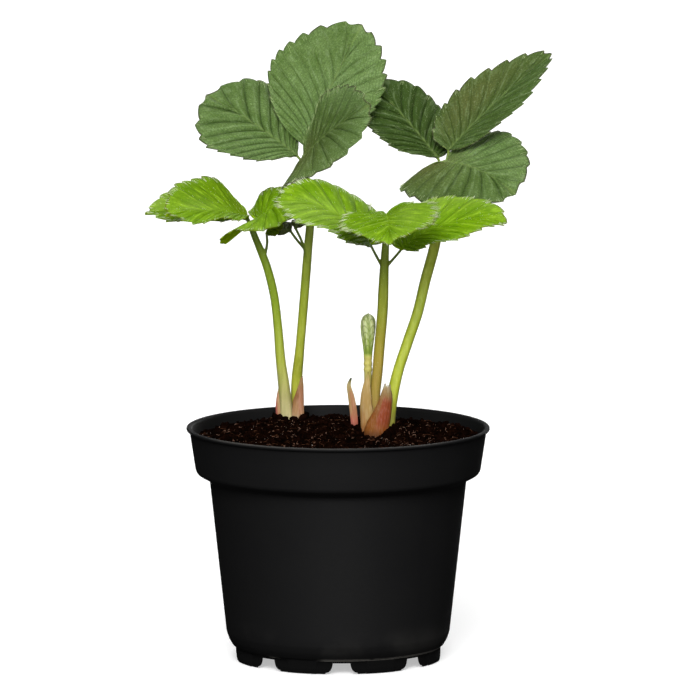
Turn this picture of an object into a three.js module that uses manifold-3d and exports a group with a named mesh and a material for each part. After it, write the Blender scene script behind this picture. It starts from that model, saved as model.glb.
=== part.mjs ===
// A young strawberry plant in a round black nursery pot.
// Millimetres, +Z up, origin on the pot's axis at the floor.
import * as THREE from 'three';
import { mergeVertices } from 'three/addons/utils/BufferGeometryUtils.js';
import Module from 'manifold-3d';

const wasm = await Module();
wasm.setup();

// ---- Driving dimensions ----------------------------------------------------

const POT_HEIGHT = 92.3;         // standard 12 cm nursery pot
const LIP_RADIUS = 60;
const LIP_DROP = 1.2;            // height of the rounded lip
const COLLAR_FOOT_Z = 74.3;      // lower corner of the collar
const COLLAR_FOOT_RADIUS = 56.3;
const COLLAR_TOP_RADIUS = 58.7;
const WALL_TOP_Z = 70.5;
const WALL_TOP_RADIUS = 50.7;
const WALL_FOOT_Z = 11;
const WALL_FOOT_RADIUS = 44.2;
const FOOT_RADIUS = 41;
const FOOT_STEP_Z = 5.8;         // where the foot ring steps out to the wall
const SHEET = 1.2;               // wall thickness of the pot
const FLOOR_Z = 4.5;             // underside of the raised pot floor
const POT_SIDES = 44;

const NOTCHES = 8;               // drain notches around the foot ring
const FIRST_NOTCH = 2;           // degrees to the right of straight ahead
const NOTCH_WIDTH = 13;
const NOTCH_TOP_WIDTH = 7;
const NOTCH_HEIGHT = 4.3;
const PANEL_HALF_ANGLE = 14;     // recessed panel around each notch, degrees
const PANEL_DEPTH = 0.4;
const DRAIN_HOLE_RADIUS = 3;
const DRAIN_CIRCLE_RADIUS = 33;

const SOIL_EDGE_Z = 88;
const SOIL_MOUND = 2;            // rise of the soil from the edge to the middle
const SEAT_GAP = 0.3;            // clearance between pieces that touch

const BLADE_THICKNESS = 0.8;
const VEIN_FOLD = 0.3;           // how far the blade is pleated at each vein
const TOOTH_DEPTH = 0.036;       // share of the blade's length
const TOOTH_LEAN = 0.72;         // where the tooth's point lies in its width
const SMOOTH_BASE = 0.16;        // share of the margin without teeth
const MIDRIB_SHARE = 0.86;       // share of the midrib that carries side veins

const STALK_SIDES = 8;
const LAYOUT_TURN = 5;           // degrees, lays the widest spread along X

const DEGREE = Math.PI / 180;

// ---- Materials ---------------------------------------------------------------

const finish = (color, roughness) => new THREE.MeshStandardMaterial({ color, roughness, metalness: 0 });
const POT_PLASTIC = finish(0x17181a, 0.45);
const PEAT = finish(0x1c120d, 0.95);
const DARK_LEAF = finish(0x4f6a3c, 0.75);
const BRIGHT_LEAF = finish(0x7da321, 0.6);
const STALK_GREEN = finish(0x8f9f2c, 0.55);
const BUD_GREEN = finish(0xb9c98a, 0.6);
const SCALE_RED = finish(0xb4573b, 0.6);
const SCALE_TAN = finish(0xc9a878, 0.7);
const CROWN_BROWN = finish(0x6a4a32, 0.85);

// ---- Solids ------------------------------------------------------------------

// Merges shared corners and turns the faces outward, so that booleans can use it.
function toSolid(geometry) {
  const bare = geometry.clone();
  bare.deleteAttribute('normal');
  bare.deleteAttribute('uv');
  const merged = mergeVertices(bare, 1e-4);
  const corners = merged.index.array;
  const faces = [];
  for (let i = 0; i < corners.length; i += 3) {
    const [a, b, c] = [corners[i], corners[i + 1], corners[i + 2]];
    if (a !== b && b !== c && c !== a) faces.push(a, b, c);
  }
  if (signedVolume(merged.attributes.position, faces) < 0) faces.reverse();
  return new wasm.Manifold(new wasm.Mesh({
    numProp: 3,
    vertProperties: new Float32Array(merged.attributes.position.array),
    triVerts: new Uint32Array(faces),
  }));
}

function signedVolume(position, faces) {
  const [a, b, c] = [new THREE.Vector3(), new THREE.Vector3(), new THREE.Vector3()];
  let volume = 0;
  for (let i = 0; i < faces.length; i += 3) {
    a.fromBufferAttribute(position, faces[i]);
    b.fromBufferAttribute(position, faces[i + 1]);
    c.fromBufferAttribute(position, faces[i + 2]);
    volume += a.dot(b.cross(c)) / 6;
  }
  return volume;
}

function toGeometry(solid) {
  const mesh = solid.getMesh();
  const geometry = new THREE.BufferGeometry();
  geometry.setAttribute('position', new THREE.BufferAttribute(mesh.vertProperties, 3));
  geometry.setIndex(new THREE.BufferAttribute(mesh.triVerts, 1));
  geometry.computeVertexNormals();
  return geometry;
}

// Turns a closed profile of [radius, height] points about the Z axis.
function turned(profile) {
  const points = profile.map(([radius, z]) => new THREE.Vector2(radius, z));
  const geometry = new THREE.LatheGeometry(points, POT_SIDES);
  geometry.rotateX(Math.PI / 2);
  return toSolid(geometry);
}

function ellipticPlug(centre, semiAxes, bottom, top) {
  const geometry = new THREE.CylinderGeometry(1, 1, top - bottom, 28);
  geometry.rotateX(Math.PI / 2);
  geometry.scale(semiAxes[0], semiAxes[1], 1);
  geometry.translate(centre[0], centre[1], (bottom + top) / 2);
  return toSolid(geometry);
}

// ---- Pot ---------------------------------------------------------------------

function potSolid() {
  const lipUnder = POT_HEIGHT - LIP_DROP;
  const outside = [
    [FOOT_RADIUS, 0],
    [FOOT_RADIUS + 0.1, FOOT_STEP_Z - 0.4],
    [FOOT_RADIUS + 0.9, FOOT_STEP_Z],
    [WALL_FOOT_RADIUS - 0.9, WALL_FOOT_Z - 2.8],
    [WALL_FOOT_RADIUS, WALL_FOOT_Z],
    [WALL_TOP_RADIUS, WALL_TOP_Z],
    [WALL_TOP_RADIUS + 0.5, WALL_TOP_Z + 1.3],
    [COLLAR_FOOT_RADIUS - 0.7, COLLAR_FOOT_Z - 0.2],
    [COLLAR_FOOT_RADIUS, COLLAR_FOOT_Z + 0.9],
    [COLLAR_TOP_RADIUS, lipUnder],
    [LIP_RADIUS - 0.3, lipUnder],
    [LIP_RADIUS, lipUnder + 0.4],
    [LIP_RADIUS - 0.1, POT_HEIGHT - 0.2],
    [LIP_RADIUS - 0.5, POT_HEIGHT],
  ];
  const inside = [
    [COLLAR_TOP_RADIUS - 0.8, POT_HEIGHT],
    [COLLAR_TOP_RADIUS - SHEET, lipUnder],
    ...potInside(0).reverse(),
  ];
  const floor = [[0, FLOOR_Z + SHEET]];
  const underside = [[0, FLOOR_Z], [FOOT_RADIUS - SHEET, FLOOR_Z], [FOOT_RADIUS - SHEET, 0]];
  let pot = turned([...underside, ...outside, ...inside, ...floor]);
  for (let i = 0; i < NOTCHES; i += 1) {
    const angle = (FIRST_NOTCH + (i * 360) / NOTCHES) * DEGREE;
    pot = pot.subtract(notchCutter(angle)).subtract(panelCutter(angle)).subtract(drainHole(angle));
  }
  return pot;
}

// The inner wall from the floor up to just under the lip, moved inward by gap.
function potInside(gap) {
  const inner = SHEET + gap;
  return [
    [WALL_FOOT_RADIUS - 3.9 - gap, FLOOR_Z + inner],
    [WALL_FOOT_RADIUS - 0.9 - inner, WALL_FOOT_Z - 2.4],
    [WALL_FOOT_RADIUS - inner, WALL_FOOT_Z + 0.2],
    [WALL_TOP_RADIUS - inner, WALL_TOP_Z + 0.8 + gap],
    [WALL_TOP_RADIUS - 0.6 - gap, WALL_TOP_Z + 2.4 + gap],
    [COLLAR_FOOT_RADIUS - 1.9 - gap, COLLAR_FOOT_Z + 0.9 + gap],
    [COLLAR_FOOT_RADIUS - SHEET - gap, COLLAR_FOOT_Z + 1.7 + gap],
  ];
}

function notchCutter(angle) {
  const outline = new THREE.Shape();
  outline.moveTo(-NOTCH_WIDTH / 2, -1);
  outline.lineTo(NOTCH_WIDTH / 2, -1);
  outline.lineTo(NOTCH_WIDTH / 2, 0.4);
  outline.quadraticCurveTo(NOTCH_TOP_WIDTH / 2 + 0.6, 1.6, NOTCH_TOP_WIDTH / 2, NOTCH_HEIGHT);
  outline.lineTo(-NOTCH_TOP_WIDTH / 2, NOTCH_HEIGHT);
  outline.quadraticCurveTo(-NOTCH_TOP_WIDTH / 2 - 0.6, 1.6, -NOTCH_WIDTH / 2, 0.4);
  const settings = { depth: 12, bevelEnabled: false, curveSegments: 4 };
  const geometry = new THREE.ExtrudeGeometry(outline, settings);
  geometry.rotateX(Math.PI / 2);
  geometry.translate(0, -(FOOT_RADIUS - SHEET - 3), 0);
  geometry.rotateZ(angle);
  return toSolid(geometry);
}

function panelCutter(angle) {
  const half = PANEL_HALF_ANGLE * DEGREE;
  const ahead = angle - Math.PI / 2;
  const outline = new THREE.Shape();
  outline.absarc(0, 0, FOOT_RADIUS + 6, ahead - half, ahead + half, false);
  outline.absarc(0, 0, FOOT_RADIUS - PANEL_DEPTH, ahead + half, ahead - half, true);
  const height = FOOT_STEP_Z - 0.6;
  const settings = { depth: height + 1, bevelEnabled: false, curveSegments: 4 };
  const geometry = new THREE.ExtrudeGeometry(outline, settings);
  geometry.translate(0, 0, -1);
  return toSolid(geometry);
}

function drainHole(angle) {
  const geometry = new THREE.CylinderGeometry(DRAIN_HOLE_RADIUS, DRAIN_HOLE_RADIUS, 6, 10);
  geometry.rotateX(Math.PI / 2);
  geometry.translate(0, -DRAIN_CIRCLE_RADIUS, FLOOR_Z);
  geometry.rotateZ(angle);
  return toSolid(geometry);
}

// ---- Soil and crowns -----------------------------------------------------------

const CROWNS = {
  left: { centre: [-19, 43.5], semiAxes: [6.5, 7.5], top: 88.8 },
  right: { centre: [13.5, 2.5], semiAxes: [9.5, 13], top: 90 },
};
const CROWN_DEPTH = 6;

function soilHeight(radius) {
  return SOIL_EDGE_Z + SOIL_MOUND * (1 - (radius / LIP_RADIUS) ** 2);
}

function soilSolid() {
  const edge = COLLAR_TOP_RADIUS - SHEET - 3 * SEAT_GAP;
  const mound = [edge, 42, 21, 0].map((radius) => [radius, soilHeight(radius)]);
  let soil = turned([[0, FLOOR_Z + SHEET + SEAT_GAP], ...potInside(SEAT_GAP), ...mound]);
  for (const { centre, semiAxes, top } of Object.values(CROWNS)) {
    const wide = semiAxes.map((semiAxis) => semiAxis + SEAT_GAP);
    soil = soil.subtract(ellipticPlug(centre, wide, top - CROWN_DEPTH - SEAT_GAP, top + 5));
  }
  return soil;
}

function crownSolid({ centre, semiAxes, top }) {
  return ellipticPlug(centre, semiAxes, top - CROWN_DEPTH, top);
}

// ---- Stalks --------------------------------------------------------------------

const vector = ([x, y, z]) => new THREE.Vector3(x, y, z);

// A round stalk along hand-placed points, with one radius for each point.
function stalkSolid(points, radii, stepsPerSpan = 2) {
  const path = new THREE.CatmullRomCurve3(points.map(vector), false, 'centripetal');
  const steps = stepsPerSpan * (points.length - 1);
  const section = new THREE.Shape();
  section.absarc(0, 0, 1, 0, 2 * Math.PI, false);
  const settings = { steps, extrudePath: path, bevelEnabled: false, curveSegments: STALK_SIDES / 2 };
  const geometry = new THREE.ExtrudeGeometry(section, settings);
  const centres = path.getSpacedPoints(steps);
  const place = geometry.attributes.position;
  const corner = new THREE.Vector3();
  for (let i = 0; i < place.count; i += 1) {
    corner.fromBufferAttribute(place, i);
    const ring = nearestIndex(centres, corner);
    const along = (ring / steps) * (radii.length - 1);
    const span = Math.min(Math.floor(along), radii.length - 2);
    const radius = THREE.MathUtils.lerp(radii[span], radii[span + 1], along - span);
    corner.sub(centres[ring]).multiplyScalar(radius).add(centres[ring]);
    place.setXYZ(i, corner.x, corner.y, corner.z);
  }
  return toSolid(geometry);
}

function nearestIndex(points, target) {
  let best = 0;
  points.forEach((point, i) => {
    if (point.distanceTo(target) < points[best].distanceTo(target)) best = i;
  });
  return best;
}

// ---- Blades --------------------------------------------------------------------

const BLADE_DEFAULTS = {
  half: [15, 15],                // half widths, left and right of the midrib
  fold: [[0, 0], [0, 0]],        // degrees each half is raised, base to tip
  curl: [0, 0],                  // degrees each half rolls up from midrib to edge
  lobe: [0.1, 0.1],              // how far each half reaches back past the base
  arch: 20,                      // degrees the midrib turns along its length
  full: 1.4,                     // over 1 moves the widest place toward the tip
  round: 0.62,                   // under 1 makes the outline fuller
  start: 0.015,                  // where the margin leaves the midrib
  teeth: 9,
  wave: 1,
  pleat: VEIN_FOLD,
  rows: [0.3, 0.65, 1],
};

// Frame of a blade: chord, upward face, sideways direction and midrib length.
function bladeFrame(blade) {
  const base = vector(blade.base);
  const chord = vector(blade.tip).sub(base);
  const span = chord.length();
  chord.normalize();
  const face = vector(blade.face);
  face.addScaledVector(chord, -face.dot(chord)).normalize();
  const side = new THREE.Vector3().crossVectors(face, chord);
  const arch = blade.arch * DEGREE;
  const length = (span * arch) / (2 * Math.sin(arch / 2));
  return { base, chord, face, side, arch, length };
}

// Point of the midrib at a distance from the base, and the blade's normal there.
function midribAt(frame, distance) {
  const { base, chord, face, arch, length } = frame;
  const bend = arch / length;
  const heading = arch / 2 - bend * distance;
  const along = (Math.sin(arch / 2) - Math.sin(heading)) / bend;
  const rise = (Math.cos(heading) - Math.cos(arch / 2)) / bend;
  const point = base.clone().addScaledVector(chord, along).addScaledVector(face, rise);
  const normal = face.clone().multiplyScalar(Math.cos(heading)).addScaledVector(chord, -Math.sin(heading));
  return { point, normal };
}

// Places along the margin, 0 at the base to 1 at the tip: each tooth has a notch and a point.
function marginPlaces(blade) {
  const places = [{ s: blade.start, tooth: 0, lift: 0 }];
  if (blade.teeth === 0) {
    for (let i = 1; i < 8; i += 1) {
      places.push({ s: THREE.MathUtils.lerp(blade.start, 1, i / 8), tooth: 0, lift: 0 });
    }
  }
  for (let i = 0; i < blade.teeth; i += 1) {
    const toothWidth = (1 - SMOOTH_BASE) / blade.teeth;
    const notch = SMOOTH_BASE + i * toothWidth;
    const growth = Math.min(1, (notch - SMOOTH_BASE) / 0.15 + 0.35);
    places.push({ s: notch, tooth: -0.35 * growth, lift: 1 });
    places.push({ s: notch + TOOTH_LEAN * toothWidth, tooth: 0.65 * growth, lift: -1 });
  }
  places.push({ s: 1, tooth: 0.65, lift: 0 });
  return places;
}

// A point of the blade's middle surface; row is 0 at the midrib and 1 at the margin.
function bladePoint(blade, frame, hand, place, row) {
  const k = hand > 0 ? 0 : 1;
  const { length, side } = frame;
  const { s } = place;
  const half = blade.half[k];
  const reach = half * Math.sin(Math.PI * s ** blade.full) ** blade.round;
  const back = blade.lobe[k] * 6.75 * s * (1 - s) ** 2;
  const foot = length * MIDRIB_SHARE * s ** 1.35;
  const vein = new THREE.Vector2(length * (s - back) - foot, s < 1 ? reach : 0);
  vein.setLength(vein.length() + length * blade.toothDepth * place.tooth);
  const x = foot + vein.x * row - 0.07 * length * row * (1 - row) * (reach / half);
  const y = Math.max(0, vein.y) * row;
  const toTip = THREE.MathUtils.clamp(x / length, 0, 1);
  const { point, normal } = midribAt(frame, x);
  const fold = THREE.MathUtils.lerp(...blade.fold[k], toTip) * DEGREE;
  const curl = (blade.curl[k] * DEGREE) / half || 1e-6;
  const out = (Math.sin(fold + curl * y) - Math.sin(fold)) / curl;
  const up = (Math.cos(fold) - Math.cos(fold + curl * y)) / curl;
  const pleat = blade.pleat * place.lift * (0.25 * row + 2.2 * row * (1 - row));
  const ripple = Math.sin(2 * Math.PI * (2.3 * s + (hand < 0 ? 0.3 : 0)));
  const wave = s < 1 ? blade.wave * row ** 2 * ripple : 0;
  return point.addScaledVector(side, hand * out).addScaledVector(normal, up + pleat + wave);
}

// A closed thin solid: the middle surface offset to both faces and joined at the rim.
function bladeGeometry(given) {
  const blade = { ...BLADE_DEFAULTS, toothDepth: TOOTH_DEPTH, ...given };
  const frame = bladeFrame(blade);
  const places = marginPlaces(blade);
  const last = places.length - 1;
  const rows = blade.rows.length;
  const points = [];
  const numbers = new Map();
  const number = (hand, i, j) => {
    const key = j === 0 ? `rib ${i}` : i === last ? `tip ${j}` : `${hand} ${i} ${j}`;
    if (!numbers.has(key)) {
      numbers.set(key, points.length);
      points.push(bladePoint(blade, frame, hand, places[i], j === 0 ? 0 : blade.rows[j - 1]));
    }
    return numbers.get(key);
  };
  const faces = [];
  for (let i = 0; i < last; i += 1) {
    for (let j = 0; j < rows; j += 1) {
      const [a, b, c, d] = [[i, j], [i + 1, j], [i + 1, j + 1], [i, j + 1]].map((at) => number(1, ...at));
      faces.push(a, b, c, a, c, d);
      const [e, f, g, h] = [[i, j], [i + 1, j], [i + 1, j + 1], [i, j + 1]].map((at) => number(-1, ...at));
      faces.push(e, g, f, e, h, g);
    }
  }
  const rim = [];
  for (let j = 0; j <= rows; j += 1) rim.push(number(-1, 0, j));
  for (let i = 1; i <= last; i += 1) rim.push(number(-1, i, rows));
  for (let i = last - 1; i >= 0; i -= 1) rim.push(number(1, i, rows));
  for (let j = rows - 1; j > 0; j -= 1) rim.push(number(1, 0, j));
  return thickened(points, faces, rim, BLADE_THICKNESS);
}

function thickened(points, faces, rim, thickness) {
  const sheet = new THREE.BufferGeometry().setFromPoints(points);
  sheet.setIndex(faces);
  sheet.computeVertexNormals();
  const normal = new THREE.Vector3();
  const upper = [];
  const lower = [];
  points.forEach((point, i) => {
    normal.fromBufferAttribute(sheet.attributes.normal, i);
    upper.push(point.clone().addScaledVector(normal, thickness / 2));
    lower.push(point.clone().addScaledVector(normal, -thickness / 2));
  });
  const under = points.length;
  const all = [...faces];
  for (let i = 0; i < faces.length; i += 3) {
    all.push(under + faces[i], under + faces[i + 2], under + faces[i + 1]);
  }
  rim.forEach((p, i) => {
    const q = rim[(i + 1) % rim.length];
    all.push(p, under + p, under + q, p, under + q, q);
  });
  const geometry = new THREE.BufferGeometry().setFromPoints([...upper, ...lower]);
  geometry.setIndex(all);
  geometry.computeVertexNormals();
  return geometry;
}

// ---- The four leaves -------------------------------------------------------------
// Each leaf has a petiole, the short stalks of its leaflets, and the leaflets' blades.

const LEAVES = {
  leaf_a: {
    material: DARK_LEAF,
    petiole: {
      points: [[-16.5, 47, 89.1], [-16.5, 46.5, 104], [-15.5, 43, 115], [-14, 40, 132.5], [-12, 36, 158],
        [-11, 33, 172], [-12, 31, 184], [-13.8, 29.5, 194.2]],
      radii: [2.5, 2.2, 1.8, 1.8, 1.8, 1.7, 1.5, 1.1],
    },
    stalks: [
      [[-13.8, 29.5, 193.6], [-16.1, 30, 196.1]],
      [[-13.8, 29.5, 193.6], [-13.2, 31.6, 199.4]],
      [[-13.8, 29.5, 193.6], [-13.7, 27.4, 196]],
      [[-12.5, 36.6, 157.5], [-16.5, 36.4, 162], [-18.7, 36, 165.2]],
      [[-12.1, 35.6, 153.5], [-14.2, 34, 161], [-16.8, 34.5, 166.5]],
    ],
    blades: {
      left: {
        base: [-16.5, 30, 196.5], tip: [-51.5, 42, 219], face: [0.15, -0.75, 0.65],
        half: [22, 25], fold: [[8, 4], [-8, -8]], curl: [0, -15], arch: 15, full: 1.7,
      },
      middle: {
        base: [-13, 32, 200], tip: [9, 54, 245], face: [-0.1, -0.8, 0.55],
        half: [27, 20], curl: [-10, -10], lobe: [0.05, 0.05], full: 1.15, teeth: 10,
      },
      right: {
        base: [-13.2, 26.7, 196.9], tip: [12, 4, 219.5], face: [-0.75, -0.55, 0.3],
        half: [17, 18], fold: [[0, 0], [32, -10]], lobe: [0.1, 0.55],
      },
      ear_left: {
        base: [-19, 36, 165.5], tip: [-25, 40, 166.5], face: [0, -0.5, 0.8],
        half: [5, 5], teeth: 5, wave: 0.3, rows: [0.5, 1],
      },
      ear_right: {
        base: [-17, 34.8, 167], tip: [-14, 42, 169.5], face: [0, -0.5, 0.8],
        half: [3.2, 3.2], teeth: 5, wave: 0.3, rows: [0.5, 1],
      },
    },
  },
  leaf_b: {
    material: BRIGHT_LEAF,
    petiole: {
      points: [[-20.5, 42, 89.1], [-21.5, 42, 101], [-23, 41.5, 113.5], [-24, 41, 126], [-25.5, 39, 139],
        [-28.5, 37, 151.5], [-33, 35.8, 163], [-34.5, 35.5, 167]],
      radii: [2.4, 2.5, 2, 1.8, 1.7, 1.7, 1.6, 1.2],
    },
    stalks: [
      [[-34.4, 35.5, 166.4], [-35.8, 34.3, 171]],
      [[-34.4, 35.5, 166.4], [-36.2, 39.5, 169.6]],
      [[-34.4, 35.5, 166.4], [-32.8, 33.8, 170]],
      [[-29.6, 36.6, 154.3], [-28.3, 35.5, 160], [-28.4, 35.2, 164.6]],
    ],
    blades: {
      left: {
        base: [-36, 34, 171.4], tip: [-67.5, 16, 174.5], face: [0.1, -0.3, 0.95],
        half: [9, 17], fold: [[15, -15], [30, 25]], arch: 25, full: 1.15, round: 0.68,
      },
      middle: {
        base: [-36.5, 40, 170], tip: [-76, 44, 171.5], face: [0, -0.1, 1],
        half: [11, 15], fold: [[0, 0], [25, 20]], curl: [-10, 0], full: 1.6,
      },
      right: {
        base: [-32.5, 33.2, 170.6], tip: [-14, 23, 181], face: [-0.3, -0.4, 0.9],
        half: [14, 16.5], fold: [[10, 0], [25, -36]], lobe: [0.5, 0.75], full: 1.1,
      },
      ear: {
        base: [-28.5, 35, 165], tip: [-22, 33, 168], face: [0, -0.5, 0.8],
        half: [4.5, 4.5], teeth: 5, wave: 0.3, rows: [0.5, 1],
      },
    },
  },
  leaf_c: {
    material: BRIGHT_LEAF,
    petiole: {
      points: [[14.5, 2, 90.3], [14.5, 2, 104], [15.5, 1, 113.5], [16.5, 0, 126], [17.5, -2, 138],
        [18, -4, 151], [18.5, -6, 162], [19, -8, 171], [19, -10.5, 177]],
      radii: [2.5, 2.2, 2.1, 2.1, 2.1, 2.1, 1.8, 1.4, 1.1],
    },
    stalks: [
      [[19, -10.5, 176.4], [19, -11.6, 178.2]],
      [[17.9, -4.8, 156], [15.5, -4.4, 160], [13.1, -4, 164.7]],
      [[18.3, -4.8, 156], [21.5, -4, 159.3], [24.7, -3.1, 163]],
    ],
    blades: {
      left: {
        base: [12.5, -4, 165.5], tip: [-24, -8, 183], face: [0.2, -0.45, 0.9],
        half: [14.5, 22], fold: [[15, -5], [5, 5]], curl: [-10, -10], lobe: [0.05, 0.5], arch: 65,
        full: 0.95, round: 0.48,
      },
      middle: {
        base: [19, -12, 178.5], tip: [20.5, -40, 170.5], face: [0, -0.5, 0.85],
        half: [20, 19], fold: [[35, 20], [15, 10]], curl: [-20, -20], arch: 30,
      },
      right: {
        base: [25, -3, 163.5], tip: [65.5, -6, 174.5], face: [-0.1, -0.4, 0.9],
        half: [16.5, 9.5], fold: [[15, 15], [-25, 5]], curl: [-10, 0], lobe: [0.3, 0.1], arch: 60,
      },
    },
  },
  leaf_d: {
    material: DARK_LEAF,
    petiole: {
      points: [[20, 8, 90.3], [21, 8, 100], [23.5, 10, 112], [27.5, 13, 124], [31.5, 16, 135.5],
        [34.5, 20, 147.5], [38.5, 25, 162], [41, 29.5, 177], [42, 33, 189.5]],
      radii: [2.3, 2.3, 2.1, 2.1, 2.1, 2.1, 2.1, 1.8, 1.2],
    },
    stalks: [
      [[42, 33, 189], [39.8, 35.3, 194.5]],
      [[42, 33, 189], [43.9, 34.4, 197.8]],
      [[42, 33, 189], [42.9, 30.6, 193.4]],
    ],
    blades: {
      left: {
        base: [39.5, 35.6, 195], tip: [13.5, 50, 223.5], face: [0.1, -0.85, 0.5],
        half: [14, 20], fold: [[0, 0], [-30, -25]], lobe: [0.05, 0.2], arch: 15,
      },
      middle: {
        base: [44, 34.5, 198.3], tip: [84, 46, 234.5], face: [-0.15, -0.86, 0.5],
        half: [14, 12.5], fold: [[10, 0], [30, 30]], lobe: [0.22, 0.05], arch: 25, full: 1, round: 0.7,
      },
      right: {
        base: [43, 30.2, 194], tip: [69.5, 11, 184], face: [0, -0.6, 0.8],
        half: [24, 22.5], curl: [0, -15], lobe: [0.32, 0.7], arch: 40,
      },
    },
  },
};

// A petiole with the short stalks of its leaflets grown onto it.
function petioleSolid({ petiole, stalks }) {
  let solid = stalkSolid(petiole.points, petiole.radii);
  for (const points of stalks) {
    solid = solid.add(stalkSolid(points, points.map(() => 0.65), 2));
  }
  return solid;
}

// ---- Bud and scales at the crowns --------------------------------------------------

const BUD = {
  points: [[11.5, 7, 90.3], [11.5, 7, 105], [12, 7, 119], [11.5, 7, 127], [11.3, 7, 132], [11.5, 7, 136.5]],
  radii: [1.6, 1.5, 1.5, 2.8, 2.8, 1.3],
};

const SCALE_DEFAULTS = {
  teeth: 0, wave: 0, pleat: 0, lobe: [0, 0], full: 0.75, round: 0.6, start: 0.1, rows: [0.5, 1],
};

const SCALES = {
  scale_front: {
    material: SCALE_RED,
    base: [14.6, -9.2, 90], tip: [18.3, -3, 108.5], face: [0, -1, 0.2],
    half: [5.5, 5.5], curl: [-75, -75], arch: 25,
  },
  scale_tan: {
    material: SCALE_TAN,
    base: [10.8, -3.2, 90], tip: [11, -1.5, 116], face: [-0.2, -1, 0],
    half: [2.6, 2.6], curl: [-60, -60], arch: 10,
  },
  scale_small: {
    material: SCALE_RED,
    base: [7.4, 11, 90], tip: [5, 12, 109.5], face: [-0.5, -1, 0],
    half: [2, 2], curl: [-50, -50], arch: 30,
  },
  scale_rear_red: {
    material: SCALE_RED,
    base: [-23.9, 41.5, 88.8], tip: [-24.4, 41.5, 101.5], face: [-1, -0.3, 0],
    half: [2.4, 2.4], curl: [-40, -40], arch: 15,
  },
  scale_rear_tan: {
    material: SCALE_TAN,
    base: [-15.4, 39.5, 88.8], tip: [-15.4, 41.5, 105], face: [0.1, -1, 0],
    half: [2.2, 2.2], curl: [-50, -50], arch: 20,
  },
};

// ---- Assembly ------------------------------------------------------------------------

const plant = new THREE.Group();
plant.rotation.z = LAYOUT_TURN * DEGREE;

function addPiece(name, geometry, material) {
  const mesh = new THREE.Mesh(geometry, material);
  mesh.name = name;
  plant.add(mesh);
}

addPiece('pot', toGeometry(potSolid()), POT_PLASTIC);
addPiece('soil', toGeometry(soilSolid()), PEAT);
for (const [side, crown] of Object.entries(CROWNS)) {
  addPiece(`crown_${side}`, toGeometry(crownSolid(crown)), CROWN_BROWN);
}
for (const [leaf, parts] of Object.entries(LEAVES)) {
  addPiece(`${leaf}_petiole`, toGeometry(petioleSolid(parts)), STALK_GREEN);
  for (const [position, blade] of Object.entries(parts.blades)) {
    addPiece(`${leaf}_${position}`, bladeGeometry(blade), parts.material);
  }
}
addPiece('bud', toGeometry(stalkSolid(BUD.points, BUD.radii)), BUD_GREEN);
for (const [name, scale] of Object.entries(SCALES)) {
  addPiece(name, bladeGeometry({ ...SCALE_DEFAULTS, ...scale }), scale.material);
}

const part = new THREE.Group();
part.add(plant);
export default part;
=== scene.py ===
# %% [markdown]
# # A young strawberry plant in its nursery pot
# The solid model of the plant is already made: plain thin blades, round stalks, a pot and its soil.
# This lesson dresses it. The solids are imported as a fixed frame, and each finer piece is built
# around them in metres. Loading comes first, because every later size is set against the frame.

# %% Load the frame
import math
import bmesh
import bpy
import numpy as np
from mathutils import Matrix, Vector, noise


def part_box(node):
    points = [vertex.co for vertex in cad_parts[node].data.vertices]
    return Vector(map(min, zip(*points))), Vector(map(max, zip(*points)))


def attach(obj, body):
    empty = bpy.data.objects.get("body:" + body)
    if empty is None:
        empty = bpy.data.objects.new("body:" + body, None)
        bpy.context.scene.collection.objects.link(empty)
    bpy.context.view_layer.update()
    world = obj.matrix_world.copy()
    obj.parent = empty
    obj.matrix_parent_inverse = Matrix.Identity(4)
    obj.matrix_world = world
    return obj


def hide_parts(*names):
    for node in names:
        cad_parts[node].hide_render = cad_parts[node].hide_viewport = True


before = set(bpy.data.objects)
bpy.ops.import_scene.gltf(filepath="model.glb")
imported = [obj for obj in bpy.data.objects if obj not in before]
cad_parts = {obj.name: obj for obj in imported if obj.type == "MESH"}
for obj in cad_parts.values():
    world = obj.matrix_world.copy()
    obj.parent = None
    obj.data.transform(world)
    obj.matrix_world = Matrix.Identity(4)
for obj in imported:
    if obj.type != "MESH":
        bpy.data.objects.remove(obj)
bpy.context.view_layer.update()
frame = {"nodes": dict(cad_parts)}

print("solids in the frame:", len(frame["nodes"]))

# %% [markdown]
# ## Where the viewer stands
# The plant was laid out facing its viewer, then turned five degrees about the pot's axis, so that
# its widest spread lies along X. One helper repeats that turn for points in layout millimetres. The
# camera is a long lens far away, which keeps the pot's sides straight, as in a catalogue picture.

# %% Layout and camera
MILLIMETRE = 0.001
LAYOUT_TURN = math.radians(5)
TURN = np.array([
    [math.cos(LAYOUT_TURN), -math.sin(LAYOUT_TURN), 0],
    [math.sin(LAYOUT_TURN), math.cos(LAYOUT_TURN), 0],
    [0, 0, 1],
])
AIM = (3.91, 0, 123.6)
VIEW_DISTANCE = 4000
VIEW_ELEVATION = math.radians(8)
FOCAL_LENGTH = 524.3
SENSOR_WIDTH = 36
CLIP = (0.1, 100)


def from_layout(points):
    """Layout millimetres to the object's metres."""
    return np.asarray(points, float) @ TURN.T * MILLIMETRE


def add_camera():
    eye = (
        AIM[0],
        AIM[1] - VIEW_DISTANCE * math.cos(VIEW_ELEVATION),
        AIM[2] + VIEW_DISTANCE * math.sin(VIEW_ELEVATION),
    )
    lens = bpy.data.cameras.new("viewer")
    lens.lens = FOCAL_LENGTH
    lens.sensor_width = SENSOR_WIDTH
    lens.clip_start, lens.clip_end = CLIP
    camera = bpy.data.objects.new("viewer", lens)
    camera.location = from_layout(eye)
    toward = Vector(from_layout(AIM)) - camera.location
    camera.rotation_mode = "QUATERNION"
    camera.rotation_quaternion = toward.to_track_quat("-Z", "Y")
    bpy.context.scene.collection.objects.link(camera)
    bpy.context.scene.camera = camera
    return camera


viewer = add_camera()
print("camera at", [round(value, 3) for value in viewer.location])

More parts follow.
